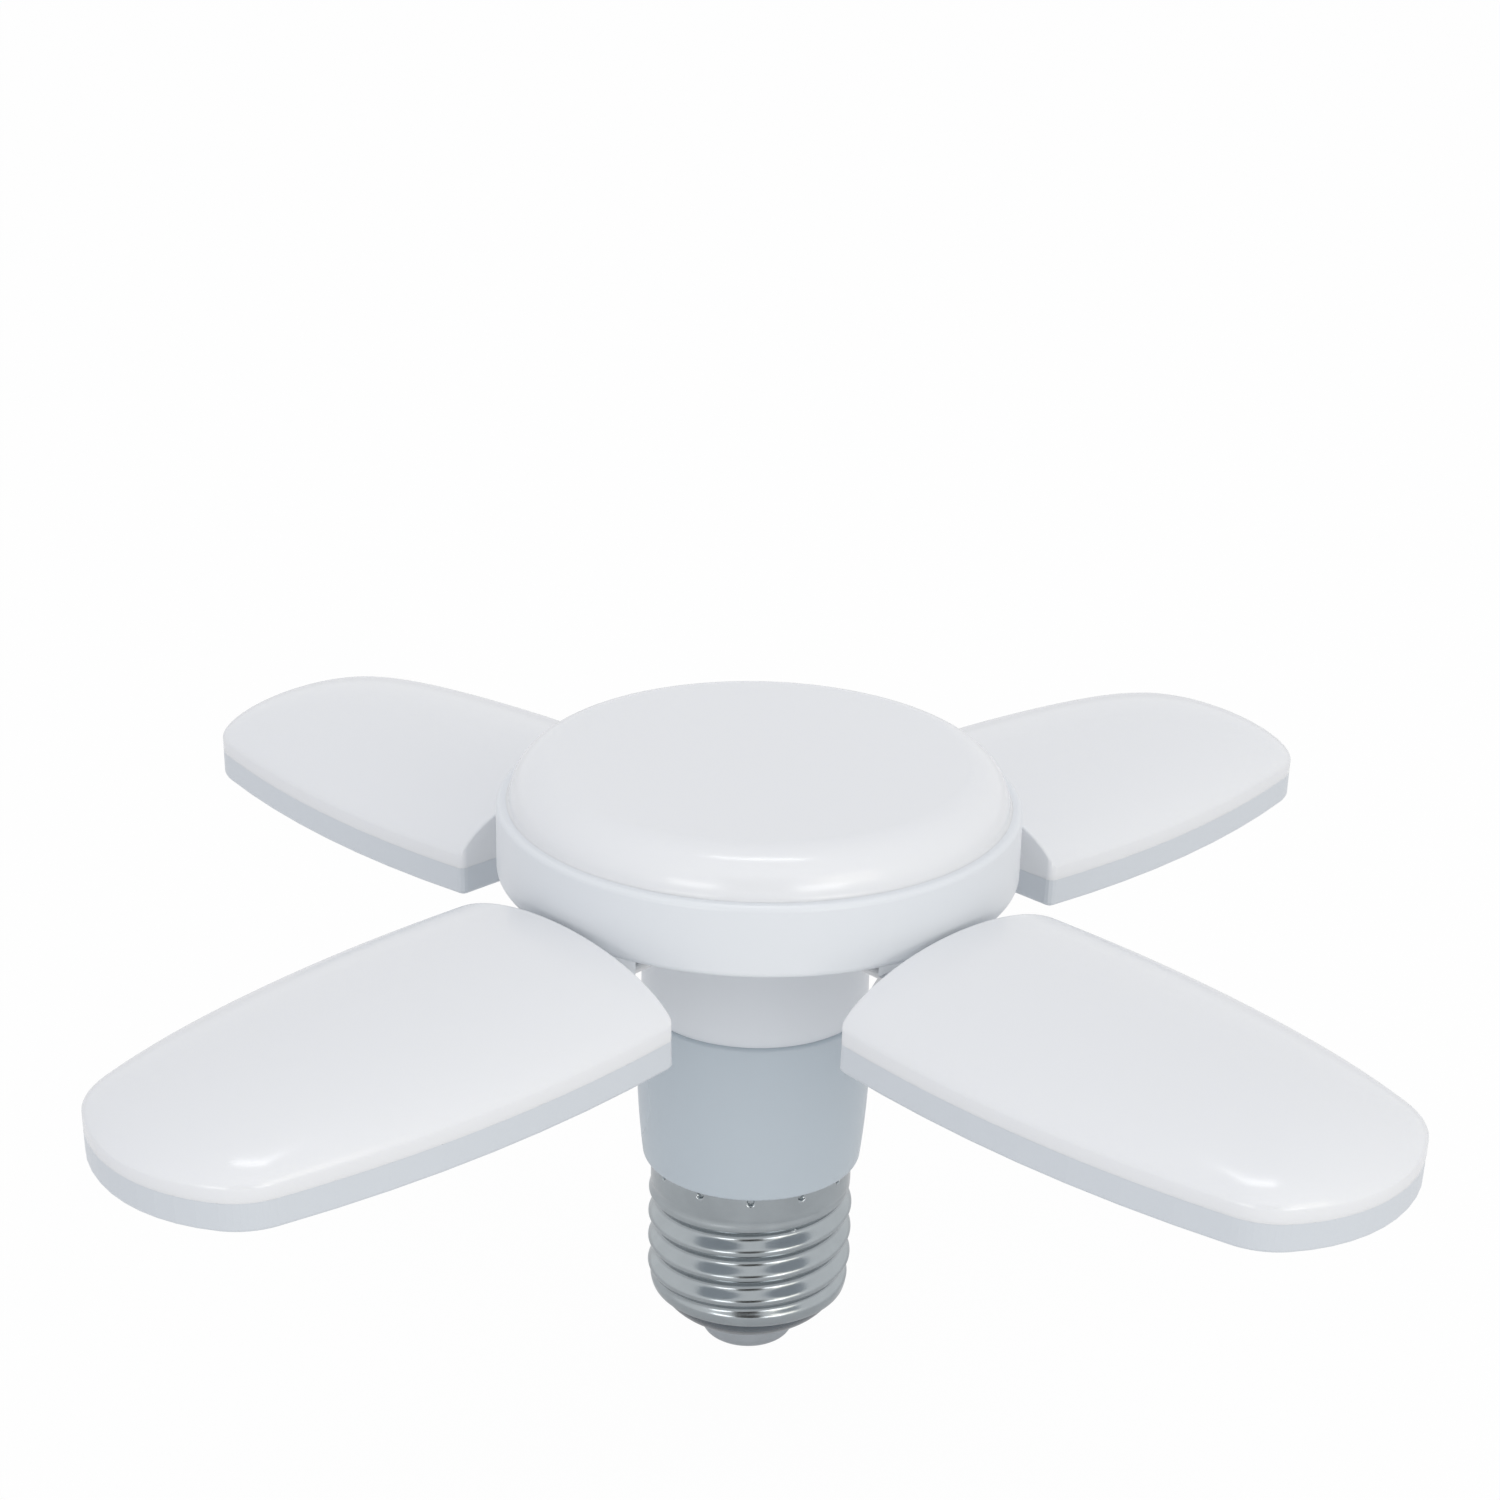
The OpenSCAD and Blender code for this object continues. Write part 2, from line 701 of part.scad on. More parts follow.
module disc_diffuser() {
    color(milky)
        rotate_extrude(convexity = 4)
            difference() {
                polygon(concat([[0, disc_z1], [dome_r, disc_z1]], dome_profile(0)));
                polygon(concat([[0, disc_z1 - cut], [dome_r - dome_wall, disc_z1 - cut]],
                    dome_profile(dome_wall)));
            }
}

// ---- Driver inside the neck ----

module driver_board() {
    color("darkgreen")
        translate([-driver_w / 2, -driver_t / 2, driver_z0])
            cube([driver_w, driver_t, driver_z1 - driver_z0]);
}

module electrolytic_capacitor() {
    color("dimgray")
        translate([0, driver_t / 2 + can_d / 2, can_z - can_l / 2])
            difference() {
                union() {
                    cylinder(h = 1, r = can_d / 2 - 0.3, $fn = 48);
                    translate([0, 0, 1])
                        cylinder(h = 0.8, r = can_d / 2 - 0.6, $fn = 48);
                    translate([0, 0, 1.8])
                        cylinder(h = can_l - 1.8, r = can_d / 2, $fn = 48);
                }
                for (a = [0, 90])
                    rotate([0, 0, a])
                        translate([-can_d * 0.35, -0.15, can_l - 0.3])
                            cube([can_d * 0.7, 0.3, 1]);
            }
}

module film_capacitor() {
    color("goldenrod")
        translate([-film_size[0] / 2, -driver_t / 2 - film_size[1], film_z])
            cube(film_size);
}

module drum_inductor() {
    color("darkslategray")
        translate([0, driver_t / 2, drum_z])
            rotate([-90, 0, 0]) {
                cylinder(h = 1.2, r = drum_d / 2, $fn = 48);
                translate([0, 0, 1.2])
                    cylinder(h = drum_h - 2.4, r = drum_d / 2 - 0.9, $fn = 48);
                translate([0, 0, drum_h - 1.2])
                    cylinder(h = 1.2, r = drum_d / 2, $fn = 48);
            }
}

module bridge_rectifier() {
    color("black")
        translate([-bridge_size[0] / 2, -driver_t / 2 - bridge_size[1], bridge_z])
            cube(bridge_size);
}

module driver_chip() {
    color("black")
        translate([-chip_size[0] / 2, -driver_t / 2 - chip_size[1], chip_z])
            cube(chip_size);
}

module fuse_resistor() {
    color("tan")
        translate([-fuse_l / 2, driver_t / 2 + fuse_r, fuse_z])
            rotate([0, 90, 0])
                cylinder(h = fuse_l, r = fuse_r, $fn = 48);
}

module live_lead() {
    start = contact_floor + 0.6;
    color("firebrick")
        translate([0, 0, start])
            cylinder(h = driver_z0 - start, r = lead_r, $fn = 24);
}

module neutral_lead() {
    x = guide_r - 2;
    end_z = cap_h - spigot_h - 2.4;
    color("royalblue") {
        translate([x, 0, end_z])
            cylinder(h = driver_z0 - end_z, r = lead_r, $fn = 24);
        translate([x, 0, end_z])
            sphere(r = lead_r, $fn = 24);
        translate([x, 0, end_z])
            rotate([0, 90, 0])
                cylinder(h = shell_bore_r - x - fixed_fit, r = lead_r, $fn = 24);
    }
}

module disc_leads() {
    color("firebrick")
        for (s = [-1, 1])
            translate([s * 2.5, 0, driver_z1])
                cylinder(h = disc_z1 - driver_z1, r = lead_r, $fn = 24);
}

// ---- Wings ----

// The back shell before it is hollowed, with a rounded lower edge
module back_block() {
    hull() {
        translate([0, 0, wing_z0])
            linear_extrude(0.1)
                polygon(outline(back_round));
        translate([0, 0, wing_z0 + back_round * 0.35])
            linear_extrude(0.1)
                polygon(outline(back_round * 0.35));
        translate([0, 0, wing_z0 + back_round])
            linear_extrude(0.1)
                polygon(outline(0));
    }
    translate([0, 0, wing_z0 + back_round])
        linear_extrude(back_h - back_round)
            polygon(outline(0));
}

module wing_back(k) {
    color(plastic)
        at_wing(k)
            difference() {
                union() {
                    back_block();
                    for (s = [-1, 1])
                        wing_knuckle(s);
                }
                difference() {
                    translate([0, 0, wing_z0 + back_floor])
                        linear_extrude(back_h)
                            polygon(outline(back_wall));
                    for (x = [wing_screw_a, wing_screw_b])
                        translate([x, 0, wing_z0])
                            cylinder(h = wing_board_z0 - wing_z0, r = boss_r, $fn = 48);
                }
                for (x = [wing_screw_a, wing_screw_b])
                    translate([x, 0, wing_z0 + 0.5])
                        cylinder(h = back_h, r = pilot_r, $fn = 32);
                wire_slot(wing_r0 - cut, wing_r0 + back_wall + cut);
                bar_y(hinge_r, hinge_z, -knuckle_half - cut, knuckle_half + cut, bore_r);
            }
}

// One knuckle and its arm, on side s of the wing
module wing_knuckle(s) {
    y0 = s > 0 ? wire_gap / 2 : -knuckle_half;
    y1 = s > 0 ? knuckle_half : -wire_gap / 2;
    bar_y(hinge_r, hinge_z, y0, y1, knuckle_r);
    translate([hinge_r, y0, hinge_z - knuckle_r])
        cube([wing_r0 - hinge_r + 0.5, y1 - y0, min(knuckle_r, seam_z - hinge_z + knuckle_r)]);
}

ring_scales = [1, 0.985, 0.95, 0.88, 0.77, 0.62, 0.42, 0.2];

module wing_diffuser(k) {
    top = [for (i = [len(ring_scales) - 1:-1:0])
        crown_ring(0, ring_scales[i], side_z, crown_h)];
    inside = [for (s = ring_scales)
        crown_ring(diffuser_wall, s, side_z - diffuser_wall * 0.6,
            crown_h - diffuser_wall * 0.4)];
    edge = [
        flat_ring(0, seam_z),
        flat_ring(lip_inset, seam_z),
        flat_ring(lip_inset, seam_z - lip_h),
        flat_ring(lip_inset + lip_t, seam_z - lip_h),
        flat_ring(lip_inset + lip_t, seam_z + 0.2),
        flat_ring(diffuser_wall, seam_z + 0.6)
    ];
    color(milky)
        at_wing(k)
            ring_body(
                concat(top, edge, inside),
                [wing_mid, 0, side_z + crown_h * crown(wing_mid, 0, 0)],
                [wing_mid, 0, side_z - diffuser_wall * 0.6
                    + (crown_h - diffuser_wall * 0.4) * crown(wing_mid, 0, diffuser_wall)]
            );
}

module wing_board(k) {
    color("gainsboro")
        at_wing(k)
            translate([0, 0, wing_board_z0])
                difference() {
                    linear_extrude(board_t)
                        polygon(outline(wing_board_inset));
                    for (x = [wing_screw_a, wing_screw_b])
                        translate([x, 0, -cut])
                            cylinder(h = board_t + 2 * cut, r = board_hole_r, $fn = 32);
                }
}

module wing_leds(k) {
    first = wing_r0 + led_margin;
    last = wing_r1 - led_tip_margin;
    color("khaki")
        at_wing(k)
            for (i = [0:wing_led_columns - 1])
                for (row = [-1, 1])
                    let (x = first + (last - first) * i / (wing_led_columns - 1))
                        translate([x - led_w / 2, row * wing_led_pitch - led_l / 2, wing_board_z1])
                            cube([led_w, led_l, led_h]);
}

module wing_board_screws(k) {
    color(metal)
        at_wing(k)
            for (x = [wing_screw_a, wing_screw_b])
                tapping_screw(x, 0, wing_board_z1);
}

// Two insulated wires from the driver board to the wing's board, under the hinge screw
module wing_lead(k) {
    start = (k % 2 == 1 ? driver_w / 2 : driver_t / 2) + wire_start;
    reach = wing_r0 + wing_board_inset + wire_inside;
    color("firebrick")
        at_wing(k)
            for (s = [-1, 1]) {
                translate([start, s * wire_t, hinge_z + wire_z])
                    rotate([0, 90, 0])
                        cylinder(h = reach - start, r = lead_r, $fn = 24);
                translate([reach - 1, s * wire_t, hinge_z + wire_z])
                    cylinder(h = wing_board_z0 - hinge_z - wire_z, r = wire_core_r, $fn = 24);
            }
}

// ---- Hinge hardware, held by the hub's ears ----

module hinge_screw(k) {
    head = ear_out + screw_head_h;
    color(metal)
        at_wing(k, 0) {
            bar_y(hinge_r, hinge_z, -ear_out - nut_h - screw_end, ear_out + 0.1, screw_r, 48);
            difference() {
                intersection() {
                    bar_y(hinge_r, hinge_z, ear_out, head, screw_head_d / 2, 48);
                    translate([hinge_r, ear_out - screw_head_h, hinge_z])
                        sphere(r = 2 * screw_head_h, $fn = 64);
                }
                for (a = [0, 90])
                    translate([hinge_r, head, hinge_z])
                        rotate([0, a, 0])
                            cube([screw_head_d * 0.55, 1.2, 0.5], center = true);
            }
        }
}

module hinge_nut(k) {
    color(metal)
        at_wing(k, 0)
            difference() {
                bar_y(hinge_r, hinge_z, -ear_out - nut_h, -ear_out, nut_af / sqrt(3), 6);
                bar_y(hinge_r, hinge_z, -ear_out - nut_h - cut, -ear_out + cut,
                    screw_r + fixed_fit / 2, 48);
            }
}

module hinge_washers(k) {
    color(metal)
        at_wing(k, 0)
            for (y = [-ear_in, ear_in - washer_t])
                difference() {
                    bar_y(hinge_r, hinge_z, y, y + washer_t, washer_d / 2, 64);
                    bar_y(hinge_r, hinge_z, y - cut, y + washer_t + cut, bore_r, 64);
                }
}

centre_contact();
cap_insulator();
screw_shell();
neck_housing();
hub_housing();
disc_board();
disc_leds();
disc_board_screws();
disc_diffuser();
driver_board();
electrolytic_capacitor();
film_capacitor();
drum_inductor();
bridge_rectifier();
driver_chip();
fuse_resistor();
live_lead();
neutral_lead();
disc_leads();
for (k = [1:4]) {
    wing_back(k);
    wing_diffuser(k);
    wing_board(k);
    wing_leds(k);
    wing_board_screws(k);
    hinge_screw(k);
    hinge_nut(k);
    hinge_washers(k);
    wing_lead(k);
}
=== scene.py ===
"""Looks of the folding LED lamp: a disc light, four hinged wings, a neck and an E27 cap."""

import json
import math

import bmesh
import bpy
from mathutils import Matrix, Vector


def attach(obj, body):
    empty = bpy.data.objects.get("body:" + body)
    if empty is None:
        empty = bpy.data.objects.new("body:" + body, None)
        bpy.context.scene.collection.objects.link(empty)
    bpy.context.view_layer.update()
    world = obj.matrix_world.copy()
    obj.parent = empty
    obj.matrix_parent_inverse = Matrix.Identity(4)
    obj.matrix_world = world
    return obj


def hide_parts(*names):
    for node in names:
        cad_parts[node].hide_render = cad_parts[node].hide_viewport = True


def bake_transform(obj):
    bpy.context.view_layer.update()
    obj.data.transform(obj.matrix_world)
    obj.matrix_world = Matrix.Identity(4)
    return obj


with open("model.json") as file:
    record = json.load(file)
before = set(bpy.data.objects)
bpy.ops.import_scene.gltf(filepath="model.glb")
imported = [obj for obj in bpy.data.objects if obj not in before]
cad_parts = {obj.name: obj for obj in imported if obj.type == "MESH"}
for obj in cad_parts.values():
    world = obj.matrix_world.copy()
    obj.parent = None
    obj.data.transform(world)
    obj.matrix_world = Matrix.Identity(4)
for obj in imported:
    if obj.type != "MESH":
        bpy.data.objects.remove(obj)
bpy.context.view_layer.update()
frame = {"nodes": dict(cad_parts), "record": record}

# ---------------------------------------------------------------- sizes
# Lengths are in millimetres up to the meshes, which are made in metres.

MM = 0.001
WINGS = (1, 2, 3, 4)

CAP_Z1 = 27.0           # heights that stand on each other, from the contact's tip up
NECK_H = 21.9
SLEEVE_H = 18.1
RIM_H = 9.2
NECK_Z1 = CAP_Z1 + NECK_H
RIM_Z0 = NECK_Z1 + SLEEVE_H
RIM_Z1 = RIM_Z0 + RIM_H
RIM_R = 32.5
FIT = 0.05              # clearance between pieces that are pushed together

HINGE_R = RIM_R - 3.3   # hinge axis from the lamp's axis
HINGE_Z = RIM_Z0 - 5.5
DROOP = 2.0             # degrees below level, as stored

WING_R0 = RIM_R + 0.8   # inner end of a wing
WING_LEN = 63.4
WING_W = 41.4
WIDEST = 15.7           # from the inner end to the widest place
SIDE_BOW = 159.0
TIP_BOW = 22.0
CORNER_R = 8.8
END_CORNER = 1.0        # corners at the inner end
END_ROUND = 0.35        # rounding of the edge above the inner end
WING_Z0 = HINGE_Z - 3.5 # lower face of the back shell
BACK_H = 3.7
BACK_WALL = 1.5
SIDE_H = 1.6
CROWN_H = 6.7
DIFFUSER_WALL = 1.4
LIP_H = 1.0
LIP_T = 0.8
CROWN_POWER = 0.61      # how the crown falls off across the wing
TIP_ORDER = 7.7         # and how late and how fast along it
TIP_POWER = 0.8
CROWN_LEAST = 0.4       # share of the crown's height that the rounded inner end keeps
INNER_DROP = DIFFUSER_WALL * 0.6        # of the side, from the outside to the inside
INNER_CROWN_H = CROWN_H - DIFFUSER_WALL * 0.4
SEAM_Z = WING_Z0 + BACK_H
SIDE_Z = SEAM_Z + SIDE_H
WING_R1 = WING_R0 + WING_LEN
WING_MID = WING_R0 + WING_LEN * 0.45
BOARD_Z0 = SEAM_Z - 1.4 # lower face of a wing's board
SIDE_STEPS = 48         # points along each stretch of a wing's outline
CORNER_STEPS = 24
TIP_STEPS = 16
END_STEPS = 40
END_CORNER_STEPS = 8

DOME_R = RIM_R - 1.5 - FIT
DOME_SHOULDER = 5.4
DOME_CROWN = 0.25
DOME_WALL = 1.4
DOME_SKIRT = 0.35       # hollow fillet where the dome rests on the rim
DOME_STEPS = 256
SEAT_Z = RIM_Z1 + 0.01  # a hair above the rim, so that the two don't share a face
DISC_Z1 = RIM_Z1 - 2.3

NECK_R = 14.9
NECK_ROUND = 0.6
NECK_TAPER = 0.85
NECK_TAPER_H = 14.3
NECK_FOOT_R = NECK_R - NECK_TAPER - NECK_ROUND
NECK_BORE = NECK_R - 1.7
NECK_FLOOR = 2.0
NECK_EDGE = 0.5         # rounding of the neck's upper edge
NECK_STEPS = 192
TAPER_STEPS = 24
GUIDE_R = 8.3           # inner edge of the ribs that hold the driver board
GUIDE_HALF = 1.7
GROOVE_HALF = 0.65
GUIDE_Z1 = CAP_Z1 + NECK_FLOOR - FIT + NECK_H - 10
GUIDE_STEP_Z = CAP_Z1 + 1               # where the ribs widen from the spigot to the neck
GUIDE_SINK = 0.3        # how far a rib reaches into the wall

THREAD_R = 13.225
THREAD_DEPTH = 1.15
THREAD_PITCH = 3.63
THREAD_Z = 11.63
THREAD_PHASE = 224.5
SHELL_Z0 = 7.8
SHELL_WALL = 0.35
SHELL_STEPS = 480       # points round the shell
THREAD_LEVELS = 120
COLLAR_LEVELS = 22
SHELL_EDGE = 0.1        # rounding of the collar's upper edge
SHELL_BORE = THREAD_R - THREAD_DEPTH - SHELL_WALL
FOOT_R = SHELL_BORE + 0.65
FOOT_BULGE = THREAD_R - 0.275
FOOT_H = 2.4
FOOT_FADE_Z = SHELL_Z0 + 1.2
FOOT_FADE_H = 1.9
COLLAR_R = 12.95
COLLAR_BORE = COLLAR_R - SHELL_WALL
COLLAR_Z0 = THREAD_Z + 3.25 * THREAD_PITCH
COLLAR_FADE_H = 2.4
PUNCH_COUNT = 12
PUNCH_ANGLE = 15        # direction of the first punch mark
PUNCH_R = 0.6
PUNCH_DEPTH = 0.9
PUNCH_Z = CAP_Z1 - 0.75
HOLE_ANGLE = 252.5      # the small hole of the soldered lead
HOLE_Z = 21.4
HOLE_R = 0.38
HOLE_DEPTH = 0.9
SPIGOT_R = SHELL_BORE - FIT
SPIGOT_COLLAR_R = COLLAR_BORE - FIT
SPIGOT_BORE = SPIGOT_R - 1.3
SPIGOT_Z0 = CAP_Z1 - 11
SPIGOT_STEP_Z0 = COLLAR_Z0 + 0.55       # where the spigot widens into the collar
SPIGOT_STEP_Z1 = COLLAR_Z0 + 1.2
CONTACT_R = 6.0
CONTACT_H = 3.4
CONTACT_WALL = 0.7
CONTACT_FLAT = 0.57     # share of the contact's radius that is flat
CONTACT_FLOOR = 1.0
CONTACT_PIP = [(0, 0.12), (0.9, 0.1), (1.5, 0)]     # shallow dent of the solder
CONTACT_BEND_STEPS = 10
CONTACT_STEPS = 128
EYELET_R = 1.6
EYELET_Z1 = CONTACT_H + 2.2
INSULATOR_R = FOOT_R - 0.375
INSULATOR_GAP = 0.1     # between the insulator and the contact
INSULATOR_PULL = (4.4, 0.9)             # how far its swelling bends out and up
INSULATOR_FLANGE = 1.6
INSULATOR_WALL = 3.6
INSULATOR_SINK = 0.4    # of its neck below the top of the eyelet
INSULATOR_SWELL_STEPS = 16
INSULATOR_STEPS = 160

LEAD_R = 0.5            # one wire of a wing's lead, over its insulation
LEAD_T = 0.6
LEAD_DROP = 1.87        # below the hinge axis
LEAD_END = WING_R0 + 5.65
LEAD_START = {1: 9.4, 2: 0.7, 3: 9.4, 4: 0.7}
WIRE_R = 0.3
WIRE_Z = HINGE_Z - LEAD_DROP
WIRE_X = LEAD_END - 1.2 # where the bare wires leave the insulation
WIRE_BEND = 0.45
LEAD_STEPS = 90
TUBE_STEPS = 16

FLOOR_Z = -8.0 * MM     # below the tips of the wings when they hang down


# ---------------------------------------------------------------- camera and light

PHOTO = 1500            # side of the photograph in pixels
FOCAL_PX = 3472
AIM = Vector((0, 0, 59.5)) * MM
AIM_PX = (756.6, 921.1) # where the aim point lies in the photograph
DISTANCE = 435.9 * MM
ELEVATION = math.radians(24.69)
HEADING = math.radians(44.51)
ROLL = math.radians(1.37)


def make_camera():
    """A camera at the photograph's place, with the shift of its off-centre framing."""
    level_right = Vector((math.sin(HEADING), -math.cos(HEADING), 0))
    level_forward = Vector((math.cos(HEADING), math.sin(HEADING), 0))
    forward = level_forward * math.cos(ELEVATION) - Vector((0, 0, math.sin(ELEVATION)))
    level_up = level_forward * math.sin(ELEVATION) + Vector((0, 0, math.cos(ELEVATION)))
    right = level_right * math.cos(ROLL) + level_up * math.sin(ROLL)
    up = level_up * math.cos(ROLL) - level_right * math.sin(ROLL)
    data = bpy.data.cameras.new("camera")
    data.sensor_width = 36
    data.lens = data.sensor_width * FOCAL_PX / PHOTO
    data.shift_x = (PHOTO / 2 - AIM_PX[0]) / PHOTO
    data.shift_y = (AIM_PX[1] - PHOTO / 2) / PHOTO
    data.clip_start = 0.01
    data.clip_end = 50
    camera = bpy.data.objects.new("camera", data)
    bpy.context.scene.collection.objects.link(camera)
    place = AIM - forward * DISTANCE
    camera.matrix_world = Matrix((
        (right.x, up.x, -forward.x, place.x),
        (right.y, up.y, -forward.y, place.y),
        (right.z, up.z, -forward.z, place.z),
        (0, 0, 0, 1),
    ))
    bpy.context.scene.camera = camera


def studio_place(side, height, distance):
    """A place round the lamp: side in degrees right of the camera, height in degrees."""
    turn = HEADING + math.pi + math.radians(side)
    lift = math.radians(height)
    out = Vector((math.cos(turn) * math.cos(lift), math.sin(turn) * math.cos(lift),
                  math.sin(lift)))
    return AIM + out * distance


def make_lamp(name, place, size, watts, colour=(1, 1, 1)):
    """A rectangular soft lamp at place, turned to the aim point."""
    data = bpy.data.lights.new(name, "AREA")
    data.shape = "RECTANGLE"
    data.size, data.size_y = size
    data.energy = watts
    data.color = colour
    lamp = bpy.data.objects.new(name, data)
    bpy.context.scene.collection.objects.link(lamp)
    lamp.location = place
    lamp.rotation_mode = "QUATERNION"
    lamp.rotation_quaternion = (AIM - place).to_track_quat("-Z", "Y")


def seen_ray(nodes, links, glossy_share=1.0):
    """1 for camera and transmission rays, glossy_share for glossy rays, 0 for the rest."""
    path = nodes.new("ShaderNodeLightPath")
    glossy = nodes.new("ShaderNodeMath")
    glossy.operation = "MULTIPLY"
    glossy.inputs[1].default_value = glossy_share
    first = nodes.new("ShaderNodeMath")
    first.operation = "MAXIMUM"
    second = nodes.new("ShaderNodeMath")
    second.operation = "MAXIMUM"
    links.new(path.outputs["Is Glossy Ray"], glossy.inputs[0])
    links.new(path.outputs["Is Camera Ray"], first.inputs[0])
    links.new(glossy.outputs[0], first.inputs[1])
    links.new(first.outputs[0], second.inputs[0])
    links.new(path.outputs["Is Transmission Ray"], second.inputs[1])
    return second.outputs[0]


def make_world(strength, colour):
    """White where it is seen, and of the given strength and colour where it lights the lamp."""
    world = bpy.data.worlds.new("studio")
    bpy.context.scene.world = world
    world.use_nodes = True
    nodes, links = world.node_tree.nodes, world.node_tree.links
    nodes.clear()
    out = nodes.new("ShaderNodeOutputWorld")
    back = nodes.new("ShaderNodeBackground")
    seen = seen_ray(nodes, links)
    level = spread(nodes, links, seen, strength, 1)
    links.new(level, back.inputs["Strength"])
    tone = ramp(nodes, links, seen, [(0, colour), (1, (1, 1, 1))])
    links.new(tone, back.inputs["Color"])
    links.new(back.outputs[0], out.inputs["Surface"])


def make_floor(z, half, seen_share, glossy_share):
    """Pale plain floor. seen_share is how much of it is plain white where it is seen, and
    glossy_share how much of that white a reflection of the floor shows."""
    mesh = bpy.data.meshes.new("floor")
    mesh.from_pydata(
        [(-half, -half, z), (half, -half, z), (half, half, z), (-half, half, z)],
        [], [(0, 1, 2, 3)])
    floor = bpy.data.objects.new("floor", mesh)
    bpy.context.scene.collection.objects.link(floor)
    paint = bpy.data.materials.new("floor")
    paint.use_nodes = True
    nodes, links = paint.node_tree.nodes, paint.node_tree.links
    nodes.clear()
    out = nodes.new("ShaderNodeOutputMaterial")
    matte = nodes.new("ShaderNodeBsdfDiffuse")
    matte.inputs["Color"].default_value = (0.86, 0.86, 0.86, 1)
    glow = nodes.new("ShaderNodeEmission")
    glow.inputs["Color"].default_value = (1, 1, 1, 1)
    share = nodes.new("ShaderNodeMath")
    share.operation = "MULTIPLY"
    share.inputs[1].default_value = seen_share
    mix = nodes.new("ShaderNodeMixShader")
    links.new(seen_ray(nodes, links, glossy_share), share.inputs[0])
    links.new(share.outputs[0], mix.inputs["Fac"])
    links.new(matte.outputs[0], mix.inputs[1])
    links.new(glow.outputs[0], mix.inputs[2])
    links.new(mix.outputs[0], out.inputs["Surface"])
    mesh.materials.append(paint)


def make_dark_reflection_card(place, size):
    """A dark card seen only in glossy reflections: a painted dark reflection of the camera side
    of a studio.
    """
    mesh = bpy.data.meshes.new("dark_reflection_card")
    x, y = size[0] / 2, size[1] / 2
    mesh.from_pydata([(-x, -y, 0), (x, -y, 0), (x, y, 0), (-x, y, 0)], [], [(0, 1, 2, 3)])
    card = bpy.data.objects.new("dark_reflection_card", mesh)
    bpy.context.scene.collection.objects.link(card)
    card.location = place
    card.rotation_mode = "QUATERNION"
    card.rotation_quaternion = (AIM - place).to_track_quat("-Z", "Y")
    paint = bpy.data.materials.new("dark_reflection_card")
    paint.use_nodes = True
    paint.node_tree.nodes["Principled BSDF"].inputs["Base Color"].default_value = (
        0.03, 0.025, 0.02, 1)
    mesh.materials.append(paint)
    card.visible_camera = False
    card.visible_diffuse = False
    card.visible_transmission = False
    card.visible_shadow = False


# ---------------------------------------------------------------- materials

def base_material(name):
    """A node material with a Principled shader, and its nodes and links."""
    made = bpy.data.materials.new(name)
    made.use_nodes = True
    nodes, links = made.node_tree.nodes, made.node_tree.links
    shader = nodes["Principled BSDF"]
    return made, nodes, links, shader


def noise(nodes, links, scale, detail):
    """Noise in object space. scale is per metre."""
    place = nodes.new("ShaderNodeTexCoord")
    made = nodes.new("ShaderNodeTexNoise")
    made.inputs["Scale"].default_value = scale
    made.inputs["Detail"].default_value = detail
    links.new(place.outputs["Object"], made.inputs["Vector"])
    return made.outputs["Fac"]


def ramp(nodes, links, source, stops):
    """A colour ramp on source. stops are (position, (r, g, b))."""
    made = nodes.new("ShaderNodeValToRGB")
    band = made.color_ramp
    while len(band.elements) < len(stops):
        band.elements.new(0.5)
    for element, (at, colour) in zip(band.elements, stops):
        element.position = at
        element.color = (*colour, 1)
    links.new(source, made.inputs["Fac"])
    return made.outputs["Color"]


def spread(nodes, links, source, low, high):
    """source from 0..1 to low..high."""
    made = nodes.new("ShaderNodeMapRange")
    made.inputs["To Min"].default_value = low
    made.inputs["To Max"].default_value = high
    links.new(source, made.inputs["Value"])
    return made.outputs["Result"]


def bump(nodes, links, shader, height, depth, strength):
    """Relief of the given depth in metres on the shader."""
    made = nodes.new("ShaderNodeBump")
    made.inputs["Strength"].default_value = strength
    made.inputs["Distance"].default_value = depth
    links.new(height, made.inputs["Height"])
    links.new(made.outputs["Normal"], shader.inputs["Normal"])


def tinted(colour, factor):
    """The colour made lighter or darker by factor."""
    return tuple(c * factor for c in colour)


PATCHES = 22            # patches of colour and gloss in a metre of moulded plastic
GRAIN = 2500            # and its grains
GRAIN_DEPTH = 0.000004
GRAIN_STRENGTH = 0.35


def plastic(name, colour, rough, variation):
    """Moulded plastic: faint mottling of colour and gloss, and a fine moulded grain."""
    made, nodes, links, shader = base_material(name)
    patches = noise(nodes, links, PATCHES, 0)
    stops = [(0.2, tinted(colour, 1 - variation)), (0.8, tinted(colour, 1 + variation * 0.4))]
    links.new(ramp(nodes, links, patches, stops), shader.inputs["Base Color"])
    links.new(spread(nodes, links, patches, rough * 0.88, rough * 1.12),
              shader.inputs["Roughness"])
    bump(nodes, links, shader, noise(nodes, links, GRAIN, 2), GRAIN_DEPTH, GRAIN_STRENGTH)
    return made


MILKY = (0.79, 0.81, 0.835)
MILKY_TINT = 1.008      # of the palest patches against the plainest
MILKY_PATCHES = 20
MILKY_ROUGH = (0.16, 0.2)
MILKY_SOFT = 0.15       # share of the light that goes in and comes out again
MILKY_REACH = (0.002, 0.002, 0.0022)    # how far it goes in, in metres, by colour


